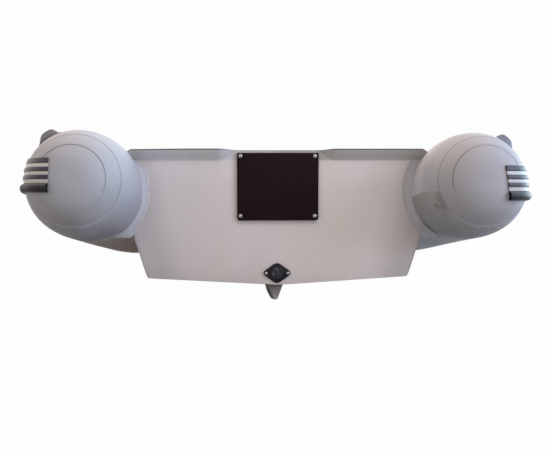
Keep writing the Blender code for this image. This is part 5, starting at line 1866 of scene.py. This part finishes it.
VALVE_LOBES = 12
VALVE_RIM = (
    (0.036, -0.001), (0.0358, 0.0034), (0.0346, 0.0052), (0.0330, 0.0056), (0.0276, 0.0056),
    (0.0268, 0.0044), (0.0250, 0.0040), (0.0246, 0.0040),
)
VALVE_CAP = (
    (0.0240, 0.0030), (0.0238, 0.0080), (0.0234, 0.0098), (0.0222, 0.0108), (0.0180, 0.0110),
    (0.0160, 0.0098), (0.0060, 0.0094), (0.0052, 0.0104), (0.0030, 0.0106), (1e-6, 0.0106),
)


class BOAT_OT_valves(bpy.types.Operator):
    """Inflation valves with lobed caps"""
    bl_idname = "boat.valves"
    bl_label = "Valves"

    def execute(self, context):
        def lobes(t, k):
            notch = 0.055 * max(0.0, math.cos(VALVE_LOBES * t))
            return 1.0 - notch if k in (1, 2, 3) else 1.0

        for name, side, way, degrees in VALVES:
            angle = math.radians(degrees)
            shape = polar_patch(side, way, angle, VALVE_RIM, count=72)
            polar_patch(side, way, angle, VALVE_CAP, shape, count=96, ripple=lobes)
            add_piece(f"{name}_cap", shape, ["plastic"], replaces=[name], weld=True)
        return {"FINISHED"}


HORN_WIRE = (0.0050, 0.0088)  # half its thickness and half its depth
HORN_TIP = 0.62  # how far it slims at its ends


class BOAT_OT_oarlocks(bpy.types.Operator):
    """Rubber oarlock pads and the forks that turn in them"""
    bl_idname = "boat.oarlocks"
    bl_label = "Oarlocks"

    def execute(self, context):
        height = axis_height(OARLOCK_WAY) + TUBE_RADIUS
        radius, top = OARLOCK_BOSS_RADIUS, OARLOCK_BOSS_HEIGHT
        boss = [(radius * 1.65, 0.0050), (radius * 1.30, 0.0072), (radius * 1.10, 0.0105),
                (radius, 0.0150), (radius, top - 0.0025), (radius - 0.0008, top - 0.0008),
                (radius - 0.0025, top), (0.0072, top), (0.0068, top - 0.0006),
                (0.0068, 0.0035), (1e-6, 0.0035)]
        pad = pad_profile(OARLOCK_PAD_RADIUS, 0.006, 7)
        for name, side in SIDES:
            shape = polar_patch(side, OARLOCK_WAY, math.pi / 2, pad, count=56, share=0.9)
            stand = at(side * TUBE_SPREAD, OARLOCK_WAY, height)
            lathe(boss, stand, 48, shape)
            add_piece(f"oarlock_socket_{name}", shape, ["rubber"], replaces=[f"oarlock_pad_{name}"],
                      slot="black_rubber", weld=True)
            self.fork(name, stand)
        return {"FINISHED"}

    def fork(self, name, stand):
        """The pin with its collar, and the horns as one bent bar on top of it."""
        seat = OARLOCK_BOSS_HEIGHT + SEAT_GAP
        shape = lathe([(0.0062, 0.0042), (0.0065, 0.0050), (0.0065, seat + 0.0005),
                       (0.0148, seat + 0.0005), (0.0160, seat + 0.0018),
                       (0.0160, seat + 0.0066), (0.0148, seat + 0.0080), (1e-6, seat + 0.0080)],
                      stand, 40)
        outer, base = OARLOCK_GAP + FORK_THICKNESS, seat + 0.006
        middle = (outer + OARLOCK_GAP) / 2
        across = stand @ turned(math.pi / 2, "Z") @ turned(math.pi / 2, "X")
        horn = [(middle * 1.10, base + OARLOCK_RISE), (middle * 1.04, base + 0.052),
                (middle, base + outer)]
        path = horn + arc((0.0, base + outer), (middle, outer - 0.006), range(-15, -181, -15))
        path += [(-x, z) for x, z in reversed(horn)]
        rows = []
        for k, (x, z) in enumerate(path):
            before, after = path[max(k - 1, 0)], path[min(k + 1, len(path) - 1)]
            run = Vector((after[0] - before[0], after[1] - before[1])).normalized()
            out = Vector((run.y, -run.x))
            thick, deep = (size * (HORN_TIP if k in (0, len(path) - 1) else 1.0)
                           for size in HORN_WIRE)
            row = []
            for t in turns(20):
                u, v = (part * thick * math.cos(t) for part in out)
                row.append(across @ Vector((x + u, z + v, deep * math.sin(t))))
            rows.append(row)
        grid(rows, ring=True, ends=(True, True), shape=shape)
        add_piece(f"oarlock_horns_{name}", shape, ["plastic"], body=f"oarlock_{name}",
                  replaces=[f"oarlock_fork_{name}"], weld=True)


BOLT_RADIUS = 0.018
BOLT_WIRE = 0.0045
BOLT_PLATE = (0.034, 0.012, 0.008)  # half length, half width, corner
BOLT_SEAT = 0.0035
BOLT_SCREWS = (-0.0285, 0.0285)
BOLT_NUT = ((0.0078, 0.003), (0.0078, 0.0044), (0.0062, 0.0052), (0.0046, 0.0054))
TOW_PAD_HEIGHT = 0.0045
TOW_LUG = (0.017, 0.010, 0.004)
TOW_RING_RADIUS = 0.020
TOW_WIRE = 0.0032


class BOAT_OT_eyes(bpy.types.Operator):
    """Lifting eyes, bow eye and towing rings"""
    bl_idname = "boat.eyes"
    bl_label = "Eyes and rings"

    def execute(self, context):
        x, y = LIFTING_EYE
        for name, side in SIDES:
            self.eye(f"lifting_bolt_{name}", f"lifting_eye_{name}", on_sole(side * x, y))
        aft, fore = (Vector((0, y, keel_height(y))) for y in BOW_EYE_BETWEEN)
        along = (fore - aft).normalized()
        out = Vector((0, along.z, -along.y))
        spot = framed((aft + fore) / 2, along, out.cross(along), out)
        self.eye("bow_bolt", "bow_eye", spot)
        for name, side in SIDES:
            self.tow_ring(name, side)
        return {"FINISHED"}

    def eye(self, name, node, matrix):
        """A U-bolt on a base plate, with a nut and washer over each leg's root."""
        shape = plate(rounded_rectangle(*BOLT_PLATE), SEAT_GAP, BOLT_SEAT, matrix, 0.0008)
        radius = BOLT_RADIUS
        bend = arc((0.0, 0.012), (radius, radius), spaced(0, 180, 24))
        path = [(radius, 0.001), (radius, 0.006), *bend, (-radius, 0.006), (-radius, 0.001)]
        sweep([matrix @ Vector((x, 0, z)) for x, z in path], BOLT_WIRE, 16, shape)
        for x in (-radius, radius):
            lathe(BOLT_NUT, matrix @ at(x, 0), 24, shape)
        for x in BOLT_SCREWS:
            pan_screw(shape, matrix @ at(x, 0, BOLT_SEAT), 0.0030, 0, 1)
        add_piece(name, shape, ["steel", "hollow"], replaces=[node], weld=True)

    def tow_ring(self, name, side):
        """A ring in the lug of a round pad. The lug's open end faces down."""
        thick, radius = TOW_PAD_HEIGHT, TOW_RING_RADIUS
        shape = polar_patch(side, TOW_TURN, TOW_ANGLE, pad_profile(0.055, thick, 7), count=56)
        rim = [(0.0500, thick - 0.0008), (0.0490, thick + 0.0010), (0.0465, thick + 0.0010),
               (0.0455, thick - 0.0008)]
        polar_patch(side, TOW_TURN, TOW_ANGLE, rim, shape, count=56)
        spot = skin_frame(side, TOW_TURN, TOW_ANGLE, thick + SEAT_GAP)
        rises = (spot.to_3x3() @ Vector((0, 1, 0))).z > 0
        lug = spot @ turned(math.pi if rises else 0.0, "Z")
        plate(rounded_rectangle(*TOW_LUG), -0.001, 0.012, lug, 0.003, steps=4, shape=shape)
        add_piece(f"tow_pad_{name}", shape, ["rubber"], replaces=[f"tow_patch_{name}"], weld=True)
        half = [(0.008, 0.0), (0.016, 0.0), (0.0195, 0.0015), (radius, 0.006)]
        path = [(0.0, 0.0), *half, *arc((0.0, 0.012), (radius, radius), spaced(0, 180, 24))]
        path += [(-x, y) for x, y in reversed(half)]
        shape = sweep([lug @ Vector((x, y, 0.0075)) for x, y in path], TOW_WIRE, 14, closed=True)
        add_piece(f"tow_loop_{name}", shape, ["steel"], replaces=[f"tow_ring_{name}"], weld=True)


# Studio

PANELS = (  # each panel's place, what it faces, and its size
    ("top", (0.0, -0.9, 3.2), (0.0, -0.4, 0.2), (4.6, 4.2)),
    ("cool", (3.6, -3.4, 1.1), (-0.4, -1.1, 0.2), (2.2, 2.2)),
    ("rim", (4.2, 1.2, 0.9), (0.5, -1.1, 0.15), (3.2, 2.0)),
)
FLOOR_RINGS = (0.0, 0.6, 1.5, 3.0, 6.0, 12.0, 40.0)


class BOAT_OT_studio(bpy.types.Operator):
    """Pale floor, soft light and the camera"""
    bl_idname = "boat.studio"
    bl_label = "Studio"

    def execute(self, context):
        look = context.scene.studio_look
        shape = grid([[Vector((radius * math.cos(t), radius * math.sin(t), FLOOR_HEIGHT))
                       for t in turns(64)] for radius in FLOOR_RINGS], ring=True)
        bmesh.ops.remove_doubles(shape, verts=shape.verts, dist=1e-6)
        floor = add_mesh("studio_floor", shape, ["studio_floor"])
        context.scene.world = self.surround(look)
        for name, place, target, size in PANELS:
            lamp = bpy.data.lights.new(f"{name}_panel", "AREA")
            lamp.shape = "RECTANGLE"
            lamp.size, lamp.size_y = size
            lamp.energy = getattr(look, f"{name}_power")
            lamp.color = getattr(look, f"{name}_tint")
            panel = add_object(f"{name}_panel", lamp)
            panel.location = place
            facing = Vector(target) - Vector(place)
            panel.rotation_euler = facing.to_track_quat("-Z", "Y").to_euler()
        context.scene.camera = self.camera(look)
        context.scene.view_settings.view_transform = "Standard"
        return {"FINISHED"}

    def surround(self, look):
        """Soft light from all round, in a colour of its own for each side."""
        world = bpy.data.worlds.new("surround")
        world.use_nodes = True
        sky = Nodes(world.node_tree)
        x, y, z = sky.parts(sky.node("ShaderNodeTexCoord", output="Generated"))
        glow = (0.0, 0.0, 0.0)
        for part, colour in ((x, look.sky_starboard), (0 - x, look.sky_port), (y, look.sky_fore),
                             (0 - y, look.sky_aft), (z, look.sky_up)):
            glow = sky.node("ShaderNodeVectorMath", {"operation": "MULTIPLY_ADD"},
                            {0: tuple(colour), 1: part.larger(0.0) ** 2, 2: glow})
        soft = sky.tree.nodes["Background"]
        sky.feed(soft.inputs["Color"], glow)
        soft.inputs["Strength"].default_value = look.ambient
        white = sky.node("ShaderNodeBackground", sockets={"Color": WHITE, "Strength": PAPER})
        seen = sky.seen_white(Wire(sky, soft.outputs[0]), white)
        sky.feed(sky.tree.nodes["World Output"].inputs["Surface"], seen)
        return world

    def camera(self, look):
        data = bpy.data.cameras.new("stern_view")
        data.lens = look.lens
        data.sensor_width = 36.0
        view = add_object("stern_view", data)
        view.location = CAMERA_PLACE
        turn = turned(CAMERA_YAW, "Z") @ turned(math.pi / 2 + CAMERA_PITCH, "X")
        view.rotation_euler = (turn @ turned(-CAMERA_ROLL, "Z")).to_euler()
        return view


GROUPS = (("boat_colours", BoatColours), ("boat_details", BoatDetails), ("studio_look", StudioLook))
OPERATORS = (BOAT_OT_tubes, BOAT_OT_patches, BOAT_OT_strakes, BOAT_OT_transom, BOAT_OT_motor_pads,
             BOAT_OT_drain, BOAT_OT_hull, BOAT_OT_cockpit, BOAT_OT_locker, BOAT_OT_thwart,
             BOAT_OT_handles, BOAT_OT_valves, BOAT_OT_oarlocks, BOAT_OT_eyes, BOAT_OT_studio)


class BOAT_PT_dresser(bpy.types.Panel):
    bl_label = "Boat"
    bl_idname = "BOAT_PT_dresser"
    bl_space_type = "VIEW_3D"
    bl_region_type = "UI"
    bl_category = "Boat"

    def draw(self, context):
        for group, _ in GROUPS:
            settings = getattr(context.scene, group)
            box = self.layout.box()
            for key in settings.__annotations__:
                box.prop(settings, key)
        for operator in OPERATORS:
            self.layout.operator(operator.bl_idname)


def register():
    for name, group in GROUPS:
        bpy.utils.register_class(group)
        setattr(bpy.types.Scene, name, bpy.props.PointerProperty(type=group))
    for operator in OPERATORS:
        bpy.utils.register_class(operator)
    bpy.utils.register_class(BOAT_PT_dresser)


def unregister():
    bpy.utils.unregister_class(BOAT_PT_dresser)
    for operator in reversed(OPERATORS):
        bpy.utils.unregister_class(operator)
    for name, group in reversed(GROUPS):
        delattr(bpy.types.Scene, name)
        bpy.utils.unregister_class(group)


def main():
    register()
    for operator in OPERATORS:
        call = getattr(bpy.ops.boat, operator.bl_idname.split(".")[1])
        if call() != {"FINISHED"}:
            raise RuntimeError(f"{operator.bl_label} didn't finish")


if __name__ == "__main__":
    main()
